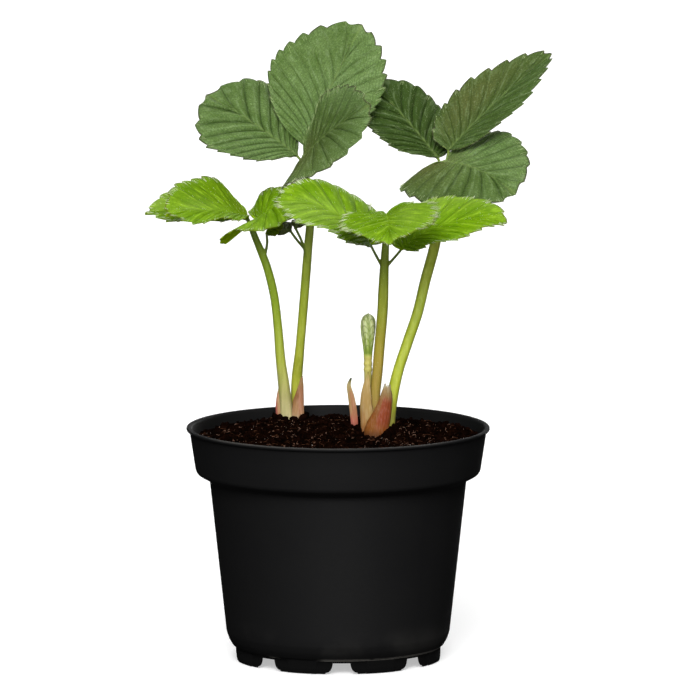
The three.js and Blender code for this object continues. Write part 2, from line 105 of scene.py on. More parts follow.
# %% [markdown]
# ## Floor and backdrop
# The plant stands on a plain white floor under a white dome, so the ground behind it is plain from
# any side. Neither is mirrored in the plant or bounces light on it, because a black pot would turn
# grey. Three helpers come first, which serve every later shape too: one turns points and faces into
# an object, one gives the angles of a circle, and one numbers the quads of a grid.

# %% First helpers
def new_object(name, points, faces):
    """A mesh object in the scene, from points in metres."""
    mesh = bpy.data.meshes.new(name)
    mesh.from_pydata(points, [], faces)
    made = bpy.data.objects.new(name, mesh)
    bpy.context.scene.collection.objects.link(made)
    return made


def full_turn(count):
    """Angles in equal steps round a circle."""
    return np.linspace(0, 2 * math.pi, count, endpoint=False)


def grid_faces(rows, columns, closed=False):
    """Quads of a grid, numbered row by row; closed joins the last column to the first."""
    across = columns if closed else columns - 1
    i, j = np.meshgrid(np.arange(rows - 1), np.arange(across), indexing="ij")
    k = (j + 1) % columns
    quads = [i * columns + j, i * columns + k, (i + 1) * columns + k, (i + 1) * columns + j]
    return np.stack(quads, -1).reshape(-1, 4)


print("quads of a grid of 3 by 4 points:", len(grid_faces(3, 4)))

# %% [markdown]
# The dome is a polar grid closed by one face at the top. Both parts glow by themselves, so they
# stay white whatever the lights do.

# %% Floor and backdrop
FLOOR_HALF = 12.0
FLOOR_DROP = 0.0002
FLOOR_GLOW = 0.45
DOME_RADIUS = 11.5
DOME_SHARE = 0.98                  # share of a quarter circle that its side goes up
DOME_GLOW = 1.0


def add_stage(name, points, faces, glow):
    """A matt white part of the studio, which the camera sees and which lights nothing."""
    stage = new_object(name, points, faces)
    stage.visible_diffuse = False
    stage.visible_glossy = False
    stage.visible_shadow = False
    paint = bpy.data.materials.new(f"{name}_paint")
    paint.use_nodes = True
    shader = paint.node_tree.nodes["Principled BSDF"]
    white = {"Base Color": (0.7, 0.7, 0.7, 1), "Roughness": 0.9, "Specular IOR Level": 0.0,
             "Emission Color": (1, 1, 1, 1), "Emission Strength": glow}
    for socket, value in white.items():
        shader.inputs[socket].default_value = value
    stage.data.materials.append(paint)


def dome(rings=12, around=48):
    """Points and faces of half a sphere that stands on the floor."""
    turn = full_turn(around)
    flat = np.stack([np.cos(turn), np.sin(turn)], 1)
    levels = []
    for rise in np.linspace(0, math.pi / 2 * DOME_SHARE, rings):
        levels.append(np.column_stack([flat * math.cos(rise), np.full(around, math.sin(rise))]))
    faces = grid_faces(rings, around, closed=True).tolist()
    faces.append(list(range((rings - 1) * around, rings * around)))
    return (np.concatenate(levels) * DOME_RADIUS).tolist(), faces


corners = [(-1, -1), (1, -1), (1, 1), (-1, 1)]
floor_corners = [(x * FLOOR_HALF, y * FLOOR_HALF, -FLOOR_DROP) for x, y in corners]
add_stage("floor", floor_corners, [(0, 1, 2, 3)], FLOOR_GLOW)
add_stage("backdrop", *dome(), DOME_GLOW)
print("the studio is", 2 * FLOOR_HALF, "m wide")

# %% [markdown]
# ## Light
# A broad soft light from the front and above lights the pot's middle and lets its sides go dark. A
# wide one overhead fills the leaves, one from behind catches the rims and keeps the back readable,
# and a low one fills the undersides. Colours are kept as they are, without a film look.

# %% Light
def add_light(name, place, spread, strength):
    """A distant soft light that shines from a place in the layout towards the origin."""
    data = bpy.data.lights.new(name, "SUN")
    data.angle = math.radians(spread)
    data.energy = strength
    light = bpy.data.objects.new(name, data)
    light.location = TURN @ np.array(place, float)
    light.rotation_mode = "QUATERNION"
    light.rotation_quaternion = light.location.to_track_quat("Z", "Y")
    bpy.context.scene.collection.objects.link(light)


def add_sky(strength):
    sky = bpy.data.worlds.new("sky")
    sky.use_nodes = True
    background = sky.node_tree.nodes["Background"]
    background.inputs["Color"].default_value = (1, 1, 1, 1)
    background.inputs["Strength"].default_value = strength
    bpy.context.scene.world = sky


add_sky(0.03)
add_light("front_light", (-0.12, -1.6, 1.15), 35, 3.4)
add_light("overhead_light", (0, -0.3, 1.5), 100, 1.1)
add_light("back_light", (0.3, 1.4, 0.6), 35, 1.6)
add_light("low_fill", (0.1, -1.6, -0.1), 40, 0.9)
bpy.context.scene.view_settings.view_transform = "Standard"

# %% [markdown]
# ## Shader maths as plain expressions
# Finishes are sums, products and mixes of patterns. Wiring each Math node by hand hides the idea,
# so one small class wraps a socket: operators add Math nodes, mix goes through a Mix node, and node
# adds any other kind, with its settings first and its sockets after them. The shapes of mask that
# come back again and again, a step, a band, a cloud of noise, have short names.

# %% Sockets that can be added and multiplied
class Wire:
    """One output socket of a material. Sums and products of wires add Math nodes."""

    def __init__(self, socket):
        self.socket = socket
        self.tree = socket.id_data

    def node(self, kind, settings=None, values=None, out=0):
        """Adds a node: settings or a ramp's stops first, then values or links of its sockets."""
        made = self.tree.nodes.new("ShaderNode" + kind)
        for name, setting in (settings or {}).items():
            if name == "stops":
                set_stops(made.color_ramp, setting)
            else:
                setattr(made, name, setting)
        for name, value in (values or {}).items():
            if isinstance(value, Wire):
                self.tree.links.new(value.socket, made.inputs[name])
            else:
                made.inputs[name].default_value = value
        return Wire(made.outputs[out])

    def math(self, operation, *others):
        return self.node("Math", {"operation": operation}, dict(enumerate([self, *others])))

    def __add__(self, other):
        return self.math("ADD", other)

    def __sub__(self, other):
        return self.math("SUBTRACT", other)

    def __mul__(self, other):
        return self.math("MULTIPLY", other)

    def __truediv__(self, other):
        return self.math("DIVIDE", other)

    def __radd__(self, other):
        return self + other

    def __rmul__(self, other):
        return self * other

    def __rsub__(self, other):
        return self.node("Math", {"operation": "SUBTRACT"}, {0: other, 1: self})

    def clipped(self):
        """Held between 0 and 1."""
        return self.node("Clamp", None, {"Value": self})

    def step(self, low, high):
        """A soft step from 0 at low to 1 at high."""
        settings = {"interpolation_type": "SMOOTHSTEP"}
        return self.node("MapRange", settings, {"Value": self, "From Min": low, "From Max": high})

    def band(self, start, full, fading, end):
        """A soft band: 1 from full to fading, 0 before start and after end."""
        return self.step(start, full) * (1 - self.step(fading, end))

    def mix(self, first, second):
        """The first colour where this mask is 0 and the second where it is 1."""
        return self.node("Mix", {"data_type": "RGBA"}, {0: self, 6: first, 7: second}, out=2)

    def ramp(self, stops):
        """The colour at this value among stops: each a place, then red, green and blue to 255."""
        return self.node("ValToRGB", {"stops": [(at, rgb(*tone)) for at, *tone in stops]},
                         {"Fac": self})

    def paler(self, value):
        """This colour brighter by value and less rich."""
        return self.node("HueSaturation", None, {"Value": value, "Saturation": 0.85, "Color": self})

    def cloud(self, scale, detail=3.0, roughness=0.5):
        """Soft noise from 0 to 1 at this wire's places; scale is in turns a metre."""
        values = {"Vector": self, "Scale": scale, "Detail": detail, "Roughness": roughness}
        return self.node("TexNoise", None, {**values, "Distortion": 0.0})

    def axis(self, number):
        """One coordinate of a place: 0 is X, 1 is Y, 2 is Z."""
        return self.node("SeparateXYZ", None, {"Vector": self}, out=number)

    def flattened(self, share):
        """Places with their heights scaled down, which draws noise out into upright streaks."""
        return self.node("VectorMath", {"operation": "MULTIPLY"}, {0: self, 1: (1.0, 1.0, share)})


# %% [markdown]
# Colours are written as the eye reads them, from 0 to 255, which is how a paint chart gives them.
# Shaders add up light instead, so one helper turns them into linear values.

# %% Colours
def set_stops(ramp, stops):
    """Gives a colour ramp its stops, as pairs of a place and a colour."""
    while len(ramp.elements) < len(stops):
        ramp.elements.new(1.0)
    for element, (place, colour) in zip(ramp.elements, stops):
        element.position = place
        element.color = colour


def rgb(red, green, blue):
    """A colour given as the eye reads it, from 0 to 255, as the shader's linear colour."""
    shares = [value / 255 for value in (red, green, blue)]
    linear = [s / 12.92 if s <= 0.04045 else ((s + 0.055) / 1.055) ** 2.4 for s in shares]
    return (*linear, 1.0)


print("dark pot in linear light:", [round(value, 3) for value in rgb(33, 33, 33)])

# %% [markdown]
# ## Starting and finishing a material
# Each finish starts from the object's own coordinates and ends in one Principled shader. The helper
# that starts it returns the material and the place wire; the helper that ends it links what changes
# over the surface and sets the rest on the shader's own sockets.

# %% Material helpers
def start_material(name):
    """A new material, and a wire that carries the place on the object, in metres."""
    material = bpy.data.materials.new(name)
    material.use_nodes = True
    place = material.node_tree.nodes.new("ShaderNodeTexCoord").outputs["Object"]
    return material, Wire(place)


def finish_material(material, colour, roughness, height=None, relief=0.0002, bump=1.0, **constants):
    """Links what varies to the shader. height is a wire from 0 to 1, relief its size in metres."""
    tree = material.node_tree
    shader = tree.nodes["Principled BSDF"]
    for name, value in (("Base Color", colour), ("Roughness", roughness)):
        if isinstance(value, Wire):
            tree.links.new(value.socket, shader.inputs[name])
        else:
            shader.inputs[name].default_value = value
    if height is not None:
        normal = height.node("Bump", None, {"Strength": bump, "Distance": relief, "Height": height})
        tree.links.new(normal.socket, shader.inputs["Normal"])
    for name, value in constants.items():
        shader.inputs[name.replace("_", " ")].default_value = value
    print("finish:", material.name, "with", len(tree.nodes), "nodes")
    return material


def painted(place, mask):
    """The wire of a mask that a mesh carries at its vertices."""
    return place.node("Attribute", {"attribute_name": mask}, None, out=2)


# %% [markdown]
# ## Turning arrays into pieces
# A leaf has thousands of points on a regular grid, so shapes are worked out as NumPy arrays and
# become meshes only at the end. The same helper puts the piece on its body, hides the solids that
# it stands for, and stores any masks that the shader reads.

# %% Mesh helpers
ROOT = "root"
WELD = 1e-6


def store_mask(mesh, name, values):
    """Writes one number for each point, which a shader can read by its name."""
    layer = mesh.attributes.new(name, "FLOAT", "POINT")
    layer.data.foreach_set("value", np.asarray(values, np.float32).ravel())


def shade_smooth(mesh):
    mesh.polygons.foreach_set("use_smooth", [True] * len(mesh.polygons))


def weld(mesh):
    """Joins points that fall on each other and turns every face outward."""
    shape = bmesh.new()
    shape.from_mesh(mesh)
    bmesh.ops.remove_doubles(shape, verts=shape.verts, dist=WELD)
    bmesh.ops.recalc_face_normals(shape, faces=shape.faces)
    shape.to_mesh(mesh)
    shape.free()


def add_piece(name, points, faces, material, slot, stands_for=(), masks=None):
    """Makes a smooth piece from points in layout millimetres and puts it in the frame."""
    piece = new_object(name, from_layout(points).tolist(), np.asarray(faces, object).tolist())
    for mask, values in (masks or {}).items():
        store_mask(piece.data, mask, values)
    weld(piece.data)
    piece.data.materials.append(material)
    shade_smooth(piece.data)
    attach(piece, ROOT)
    if stands_for:
        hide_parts(*stands_for)
    print(f"{name}: {len(piece.data.vertices)} points, {len(piece.data.polygons)} faces")
    return piece


# %% [markdown]
# Many pieces are made of small parts that share one mesh, and many parts are tubes. These helpers
# number a tube's faces, join parts into one, and scale vectors to the same length.

# %% Array helpers
def tube_faces(rows, sides):
    """Faces of a tube of rings, with a cap at each end."""
    last = (rows - 1) * sides
    caps = [list(range(sides - 1, -1, -1)), list(range(last, last + sides))]
    return [*grid_faces(rows, sides, closed=True).tolist(), *caps]


def joined(parts):
    """Several (points, faces) parts as one."""
    points, faces, start = [], [], 0
    for part_points, part_faces in parts:
        points.append(np.asarray(part_points, float))
        faces.extend([[start + int(i) for i in face] for face in part_faces])
        start += len(part_points)
    return np.concatenate(points), faces


def unit(vectors):
    """Vectors of the same directions, one long."""
    return vectors / np.maximum(np.linalg.norm(vectors, axis=-1, keepdims=True), 1e-9)


print("faces of a closed tube of 3 rings of 4:", len(tube_faces(3, 4)))

# %% [markdown]
# ## The pot
# A nursery pot is one thin moulded shell: a rolled lip, a deep collar, a tapering wall, and a foot
# ring with eight notches that let water out. Turning a profile gives all but the notches. A Boolean
# could cut those, but here each column of the turned grid simply lifts its lower edge where a notch
# is, which keeps the mesh even and its highlights clean.

# %% Pot profile
FLOOR_TOP = 5.7
FOOT_TOP = 5.4
CORNER_RADIUS = 0.7
CORNER_SHARE = 0.45
LONGEST_STEP = 8.0
OUTSIDE = [
    (41.1, FOOT_TOP), (41.9, 5.8), (43.3, 8.2), (44.2, 11), (50.7, 70.5), (51.2, 71.8),
    (55.6, 74.1), (56.3, 75.2), (58.7, 90.9), (59.6, 91.0), (60.0, 91.5), (59.9, 92.1),
    (59.4, 92.3), (58.2, 92.3), (57.6, 91.4), (55.1, 76.0), (54.4, 75.2), (50.1, 72.9),
    (49.5, 71.3), (43.0, 11.2), (42.1, 8.6), (40.3, FLOOR_TOP), (30.0, FLOOR_TOP), (0, FLOOR_TOP),
]


def rounded(profile, radius, steps=4):
    """Replaces each corner of an open profile by a short arc."""
    points = [np.array(p, float) for p in profile]
    smooth = [points[0]]
    for before, corner, after in zip(points, points[1:], points[2:]):
        shorter = min(np.linalg.norm(before - corner), np.linalg.norm(after - corner))
        reach = min(radius, CORNER_SHARE * shorter)
        first = corner + unit(before - corner) * reach
        last = corner + unit(after - corner) * reach
        for t in np.linspace(0, 1, steps):
            smooth.append((1 - t) ** 2 * first + 2 * t * (1 - t) * corner + t ** 2 * last)
    smooth.append(points[-1])
    return np.array(smooth)


def subdivided(profile, longest):
    """Adds points so that no stretch is longer than longest."""
    out = [profile[0]]
    for a, b in zip(profile, profile[1:]):
        count = max(1, math.ceil(np.linalg.norm(b - a) / longest))
        out.extend(a + (b - a) * (i + 1) / count for i in range(count))
    return np.array(out)


wall_profile = subdivided(rounded(OUTSIDE, CORNER_RADIUS), LONGEST_STEP)
print("wall profile:", len(wall_profile), "points from", len(OUTSIDE), "corners")

# %% [markdown]
# The foot ring needs care. A notch is a trapezium with flared corners, and a shallow recessed panel
# frames it. Both are functions of the angle round the pot, so a few extra columns are placed
# exactly at their edges, and the ring's lower edge and outer radius follow them.

# %% Foot ring with notches
FOOT_RADIUS = 41.0
RING_INSIDE = 39.8
FLOOR_Z = 4.5
NOTCH_COUNT = 8
FIRST_NOTCH = 2.0
NOTCH_OUTLINE = [
    (0, 4.3), (3.5, 4.3), (3.62, 3.6), (3.85, 2.6), (4.35, 1.5), (5.2, 0.75), (6.5, 0.4), (6.52, 0),
]
PANEL_HALF_ANGLE = 14.0
PANEL_DEPTH = 0.4
PANEL_TOP = 4.9
PANEL_EDGE = (0.02, 0.1)           # degrees before and after the step at a panel's side
PLAIN_COLUMNS = 20


def pot_columns():
    """Angles in degrees, and at each the height of the ring's edge and the depth of the panel."""
    pitch = 360 / NOTCH_COUNT
    outline = [(math.degrees(x / FOOT_RADIUS), z) for x, z in NOTCH_OUTLINE]
    half = [(angle, z, PANEL_DEPTH) for angle, z in outline]
    for angle in np.linspace(outline[-1][0], pitch / 2, PLAIN_COLUMNS)[1:]:
        half.append((angle, 0.0, PANEL_DEPTH if angle < PANEL_HALF_ANGLE else 0.0))
    half.append((PANEL_HALF_ANGLE - PANEL_EDGE[0], 0.0, PANEL_DEPTH))
    half.append((PANEL_HALF_ANGLE + PANEL_EDGE[1], 0.0, 0.0))
    half.sort()
    columns = []
    for i in range(NOTCH_COUNT):
        middle = FIRST_NOTCH + i * pitch
        columns += [(middle - angle, z, depth) for angle, z, depth in reversed(half[1:-1])]
        columns += [(middle + angle, z, depth) for angle, z, depth in half]
    return columns


def pot_point(radius, angle, z):
    """A point at degrees to the right of straight ahead."""
    turn = math.radians(angle) - math.pi / 2
    return (radius * math.cos(turn), radius * math.sin(turn), z)


def ring_profile(edge, depth):
    """From the axis along the floor's underside, down inside the ring and up its outside."""
    outer = FOOT_RADIUS - depth
    return [
        (0, FLOOR_Z), (20, FLOOR_Z), (RING_INSIDE - 0.3, FLOOR_Z), (RING_INSIDE, FLOOR_Z - 0.1),
        (RING_INSIDE, edge + 0.1), (RING_INSIDE + 0.1, edge), (outer - 0.15, edge),
        (outer, edge + 0.12), (outer, (edge + PANEL_TOP) / 2), (outer, PANEL_TOP),
        (FOOT_RADIUS + 0.1, FOOT_TOP - 0.25),
    ]


def pot_mesh():
    """Points and faces of the turned shell; the last column joins the first."""
    columns = pot_columns()
    points = []
    for angle, edge, depth in columns:
        profile = [*ring_profile(edge, depth), *wall_profile]
        points += [pot_point(radius, angle, z) for radius, z in profile]
    faces = grid_faces(len(columns) + 1, len(points) // len(columns))
    return np.array(points), faces % len(points)


pot_points, pot_faces = pot_mesh()
print("pot columns:", len(pot_columns()), "points:", len(pot_points))

# %% [markdown]
# The plastic is polypropylene with recycled black in it: matt to satin, with a very fine grain from
# the mould and faint rings. Its own colour stays nearly black, so the shape reads from soft
# highlights. The foot ring is painted nearly black as painted shade. One pale grey, laid on through
# three masks, gives the dust low on the wall and two painted highlights: a line along the ledge
# above the foot ring and the front of the lip.

# %% Pot plastic
LIP_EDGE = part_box("pot")[1][2] - 0.0005
LIP_HIGHLIGHT_FRONT = (-0.05, -0.03)         # the painted highlight on the front of the lip, along Y
LEDGE_HIGHLIGHT_BAND = (0.0050, 0.0053, 0.0058, 0.0062)
FOOT_SHADE = (0.003, 0.016)
DUST_TOP = 0.02
RINGS_PER_METRE = 9000


def pot_plastic():
    material, place = start_material("black_nursery_plastic")
    grain = place.cloud(2600, 2.0, 0.6)
    smears = place.cloud(38, 4.0, 0.55)
    depth, height = place.axis(1), place.axis(2)
    rings = (height * RINGS_PER_METRE).math("SINE") * 0.5 + 0.5
    # Painted shade: the foot ring is painted nearly black and made rougher.
    foot = 1 - height.step(*FOOT_SHADE)
    dust = (1 - height.step(0.0, DUST_TOP)) * smears.step(0.45, 0.7) * (1 - foot)
    # Painted highlight: a thin pale band along the ledge above the foot ring.
    ledge_highlight = height.band(*LEDGE_HIGHLIGHT_BAND) * smears.step(0.44, 0.54)
    lip = height.step(LIP_EDGE, LIP_EDGE + 0.0004)
    # Painted highlight: a pale line on the top of the lip, toward the front.
    lip_highlight = lip * (1 - depth.step(*LIP_HIGHLIGHT_FRONT)) * (0.5 + smears)
    colour = (foot * 0.8).mix(smears.mix(rgb(15, 15, 16), rgb(19, 19, 19)), rgb(1, 1, 1))
    # One pale grey gives the dust and both painted highlights.
    colour = (dust * 0.25 + ledge_highlight * 0.9 + lip_highlight * 0.3).clipped().mix(colour, rgb(92, 90, 86))
    roughness = 0.6 + smears * 0.1 + foot * 0.3 + lip * 0.3
    surface = grain * 0.8 + rings * 0.12
    return finish_material(material, colour, roughness, surface, relief=0.00006, bump=0.7,
                           Specular_IOR_Level=0.12)


pot = add_piece("pot_shell", pot_points, pot_faces, pot_plastic(), "pot_plastic")

# %% [markdown]
# Eight drain holes pierce the raised floor. They are round and go right through a flat plate, which
# is where a Boolean is the honest tool: the cutters are joined, subtracted once, and removed.

# %% Drain holes
DRAIN_RADIUS = 3.0
DRAIN_CIRCLE = 33.0
DRAIN_SIDES = 32
DRAIN_REACH = (3, 7.5)             # heights of a cutter's ends, below and above the floor


def drain_cutters():
    """Short rods through the floor, one in line with each notch."""
    turn = full_turn(DRAIN_SIDES)
    circle = np.stack([np.cos(turn) * DRAIN_RADIUS, np.sin(turn) * DRAIN_RADIUS, 0 * turn], 1)
    parts = []
    for i in range(NOTCH_COUNT):
        ring = circle + pot_point(DRAIN_CIRCLE, FIRST_NOTCH + i * 360 / NOTCH_COUNT, 0)
        ends = np.concatenate([ring + (0, 0, z) for z in DRAIN_REACH])
        parts.append((ends, tube_faces(2, DRAIN_SIDES)))
    return joined(parts)


def apply_modifiers(piece):
    """Keeps the mesh as its modifiers leave it."""
    graph = bpy.context.evaluated_depsgraph_get()
    baked = bpy.data.meshes.new_from_object(piece.evaluated_get(graph))
    piece.modifiers.clear()
    piece.data = baked


def cut(piece, points, faces):
    """Subtracts a closed mesh from a piece for good."""
    cutter = new_object("cutter", from_layout(points).tolist(), faces)
    modifier = piece.modifiers.new("cut", "BOOLEAN")
    modifier.operation = "DIFFERENCE"
    modifier.object = cutter
    apply_modifiers(piece)
    bpy.data.objects.remove(cutter)


bpy.context.view_layer.update()
cut(pot, *drain_cutters())
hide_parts("pot")
print("pot after cutting:", len(pot.data.polygons), "faces")

# %% [markdown]
# ## The peat
# Peat is dark, damp and crumbly. A smooth mound would look like chocolate, so the bed is a fine
# polar grid pushed up and down by two sizes of noise, and loose crumbs, fibres and pale grit lie on
# it as real geometry. Everything random comes from seeded generators, so each run gives the same
# bed.

# %% Peat bed
SOIL_RADIUS = 56.9
SOIL_EDGE_Z = 88.0
SOIL_MOUND = 2.0
SOIL_RISE = 60.0                   # radius at which the mound would end
COARSE_SIZE, COARSE_HEIGHT = 6.5, 0.9
FINE_SIZE, FINE_HEIGHT = 1.9, 0.45
EDGE_WIDTH, EDGE_SINK = 4, 0.7
BED_SIDES = [
    (56.7, 87.0), (54.9, 77.0), (53.8, 75.6), (49.7, 72.6), (49.1, 71.2), (42.6, 11.4), (41.7, 8.8),
    (40.0, 6.1), (0, 6.1),
]
LEFT_CROWN = (-19.0, 43.5)
RIGHT_CROWN = (13.5, 2.5)


def soil_height(x, y):
    """Height of the peat's rough surface at a place, in layout millimetres."""
    radius = math.hypot(x, y)
    mound = SOIL_EDGE_Z + SOIL_MOUND * (1 - (radius / SOIL_RISE) ** 2)
    coarse = noise.fractal(Vector((x, y, 3.1)) / COARSE_SIZE, 1.0, 2.1, 3)
    fine = noise.fractal(Vector((x, y, 9.7)) / FINE_SIZE, 0.8, 2.2, 2)
    sunk_edge = max(0.0, 1 - (SOIL_RADIUS - radius) / EDGE_WIDTH) * EDGE_SINK
    return mound + COARSE_HEIGHT * coarse + FINE_HEIGHT * fine - sunk_edge


def soil_mesh(rings=80, around=300):
    turn = full_turn(around)
    points = []
    for radius in SOIL_RADIUS * np.linspace(0, 1, rings):
        for x, y in zip(radius * np.cos(turn), radius * np.sin(turn)):
            points.append((x, y, soil_height(x, y)))
    for radius, z in BED_SIDES:
        points += [(radius * math.cos(t), radius * math.sin(t), z) for t in turn]
    return np.array(points), grid_faces(rings + len(BED_SIDES), around, closed=True)


print("height of the bed at its middle:", round(soil_height(0, 0), 1))

# %% [markdown]
# Peat is nearly black where it is damp and reddish brown where it dries. The finish mixes three
# browns by noise of different sizes and stays rough, without any gloss. The crumbs, fibres and
# crowns wear it too, each in its own browns.

# %% Peat finish
def peat(name, dark, warm, dry, scale=1.0):
    material, place = start_material(name)
    patches = place.cloud(150 * scale, 4.0, 0.6)
    grains = place.cloud(1300 * scale, 3.0, 0.65)
    colour = patches.step(0.35, 0.7).mix(dark, warm)
    colour = (grains.step(0.58, 0.8) * 0.5).mix(colour, dry)
    roughness = 0.95 - grains * 0.2
    return finish_material(material, colour, roughness, grains, relief=0.0004, bump=0.8,
                           Specular_IOR_Level=0.0)


damp_peat = peat("damp_peat", rgb(4, 2, 1), rgb(18, 7, 3), rgb(40, 20, 12))
soil_points, soil_faces = soil_mesh()
add_piece("peat_bed", soil_points, soil_faces, damp_peat, "peat", ["soil"])

# %% [markdown]
# ### Crumbs and grit
# A crumb is a twenty-sided lump with its corners pushed in and out. Thousands of them share one
# mesh: a single template is copied, stretched, turned and sunk a little into the bed.

# %% Crumbs and grit
PHI = (1 + math.sqrt(5)) / 2
LUMP = unit(np.array([
    (-1, PHI, 0), (1, PHI, 0), (-1, -PHI, 0), (1, -PHI, 0), (0, -1, PHI), (0, 1, PHI),
    (0, -1, -PHI), (0, 1, -PHI), (PHI, 0, -1), (PHI, 0, 1), (-PHI, 0, -1), (-PHI, 0, 1),
], float))
LUMP_FACES = np.array([
    (0, 11, 5), (0, 5, 1), (0, 1, 7), (0, 7, 10), (0, 10, 11), (1, 5, 9), (5, 11, 4), (11, 10, 2),
    (10, 7, 6), (7, 1, 8), (3, 9, 4), (3, 4, 2), (3, 2, 6), (3, 6, 8), (3, 8, 9), (4, 9, 5),
    (2, 4, 11), (6, 2, 10), (8, 6, 7), (9, 8, 1),
])
CRUMBS, CRUMB_SIZES = 4800, (0.2, 1.25)


def random_turn(draw):
    """A rotation matrix with no preferred direction."""
    return np.linalg.qr(draw.normal(size=(3, 3)))[0]


def scattered_places(draw, count, clear=1.5):
    """Random places on the bed, clear of the pot's wall."""
    radius = (SOIL_RADIUS - clear) * np.sqrt(draw.random(count))
    turn = draw.random(count) * 2 * math.pi
    return np.stack([radius * np.cos(turn), radius * np.sin(turn)], 1)


def lumps(draw, places, sizes, sink=0.25):
    """Irregular lumps on the bed; most are near the smallest size."""
    smallest, largest = sizes
    parts = []
    for x, y in places:
        size = smallest + (largest - smallest) * draw.random() ** 3
        shape = LUMP * (1 + 0.35 * draw.uniform(-1, 1, (12, 1))) * draw.uniform(0.6, 1.15, 3)
        centre = (x, y, soil_height(x, y) + size * (0.5 - sink))
        parts.append((shape @ random_turn(draw) * size + centre, LUMP_FACES))
    return joined(parts)


draw = np.random.default_rng(41)
crumb_peat = peat("crumb_peat", rgb(6, 3, 2), rgb(22, 9, 5), rgb(42, 21, 13), 1.6)
crumbs = lumps(draw, scattered_places(draw, CRUMBS), CRUMB_SIZES)
add_piece("peat_crumbs", *crumbs, crumb_peat, "peat")

# %% [markdown]
# The pale specks are grit and perlite dust, one or two tenths of a millimetre across. They are the
# brightest things on the bed, so they are kept small and sparse.

# %% Pale grit
SPECKS, SPECK_SIZES = 420, (0.08, 0.22)


def grit():
    material, place = start_material("pale_grit")
    tone = place.cloud(420, 2.0)
    colour = tone.step(0.35, 0.65).mix(rgb(120, 92, 80), rgb(205, 192, 182))
    return finish_material(material, colour, 0.7, tone, relief=0.0001)


specks = lumps(draw, scattered_places(draw, SPECKS), SPECK_SIZES, sink=0.1)
add_piece("peat_grit", *specks, grit(), "peat")

# %% [markdown]
# ## Curves that follow the stalks
# The stalks of the solid model are centripetal Catmull-Rom curves through listed points. The
# same curve, sampled finely, carries the dressed stalks, so they lie exactly over the solids.

# %% Curves and tubes
def curve_through(points, per_span=16):
    """Samples a centripetal Catmull-Rom curve through the points."""
    p = np.array(points, float)
    p = np.concatenate([[2 * p[0] - p[1]], p, [2 * p[-1] - p[-2]]])
    t = np.linspace(0, 1, per_span, endpoint=False)[:, None]
    samples = []
    for a, b, c, d in zip(p, p[1:], p[2:], p[3:]):
        d0, d1, d2 = [math.sqrt(np.linalg.norm(v)) for v in (b - a, c - b, d - c)]
        start = ((b - a) / d0 - (c - a) / (d0 + d1) + (c - b) / d1) * d1
        end = ((c - b) / d1 - (d - b) / (d1 + d2) + (d - c) / d2) * d1
        cubic = 2 * b - 2 * c + start + end
        square = -3 * b + 3 * c - 2 * start - end
        samples.append(cubic * t ** 3 + square * t ** 2 + start * t + b)
    return np.concatenate([*samples, p[-2:-1]])


def arc_shares(path):
    """Share of the whole length at each sample, from 0 to 1."""
    steps = np.linalg.norm(np.diff(path, axis=0), axis=1)
    return np.concatenate([[0], np.cumsum(steps)]) / steps.sum()


def frames_along(path):
    """Two directions square to the path at each sample, carried along without twist."""
    heading = unit(np.gradient(path, axis=0))
    first = unit(np.cross(heading[0], (0.2, 1, 0.1)))
    sides = []
    for direction in heading:
        first = unit(first - direction * np.dot(first, direction))
        sides.append((first, np.cross(direction, first)))
    return np.array([s[0] for s in sides]), np.array([s[1] for s in sides])


def ring_directions(sides, first, second):
    """Unit vectors round each sample of a path, from the two directions square to it."""
    turn = full_turn(sides)[:, None]
    return np.cos(turn) * first[..., None, :] + np.sin(turn) * second[..., None, :]


def tube(path, radii, sides, ribs=1.0):
    """A closed tube; ribs scales the radius at each sample and side."""
    reach = np.asarray(radii)[:, None] * ribs * np.ones(sides)
    points = path[:, None] + ring_directions(sides, *frames_along(path)) * reach[..., None]
    return points.reshape(-1, 3), tube_faces(len(path), sides)


test_curve = curve_through([(0, 0, 0), (0, 0, 10), (5, 0, 20)])
print("samples on a test curve:", len(test_curve), "ends at", test_curve[-1].round(2))

# %% [markdown]
# ### Fibres in the peat
# Peat is made of moss, so short brown threads lie in it every way, with paler and shorter ones
# between them. Each is a thin tube along a curve that hugs the bed and dips into it at both ends.

# %% Peat fibres
FIBRES, FIBRE_LENGTHS = 420, (1.6, 6.0)
STRANDS, STRAND_LENGTHS = 520, (0.6, 2.4)
THREAD_CLEAR = 3


def fibre(draw, x, y, lengths, per_span):
    turn = draw.random() * 2 * math.pi
    length = draw.uniform(*lengths)
    bend = draw.uniform(-0.6, 0.6)
    points = []
    for t in np.linspace(-0.5, 0.5, 5):
        px = x + length * t * math.cos(turn + bend * t)
        py = y + length * t * math.sin(turn + bend * t)
        reach = min(1.0, (SOIL_RADIUS - 0.5) / max(1e-6, math.hypot(px, py)))
        px, py = px * reach, py * reach
        points.append((px, py, soil_height(px, py) + 0.35 - 2.4 * t * t))
    path = curve_through(points, per_span)
    return tube(path, np.full(len(path), draw.uniform(0.05, 0.13)), sides=4)


fibre_peat = peat("fibre_peat", rgb(40, 22, 14), rgb(84, 54, 38), rgb(128, 98, 76), 1.2)
fibre_places = scattered_places(draw, FIBRES, THREAD_CLEAR)
fibre_parts = [fibre(draw, x, y, FIBRE_LENGTHS, 2) for x, y in fibre_places]
add_piece("peat_fibres", *joined(fibre_parts), fibre_peat, "peat")
pale_peat = peat("pale_strands", rgb(84, 54, 42), rgb(136, 108, 92), rgb(206, 190, 176), 1.2)
strand_places = scattered_places(draw, STRANDS, THREAD_CLEAR)
strand_parts = [fibre(draw, x, y, STRAND_LENGTHS, 1) for x, y in strand_places]
add_piece("peat_strands", *joined(strand_parts), pale_peat, "peat")

# %% [markdown]
# Watering washes peat against the plant, so each stalk and sheath stands in a small heap of crumbs
# that hides where it goes into the bed.

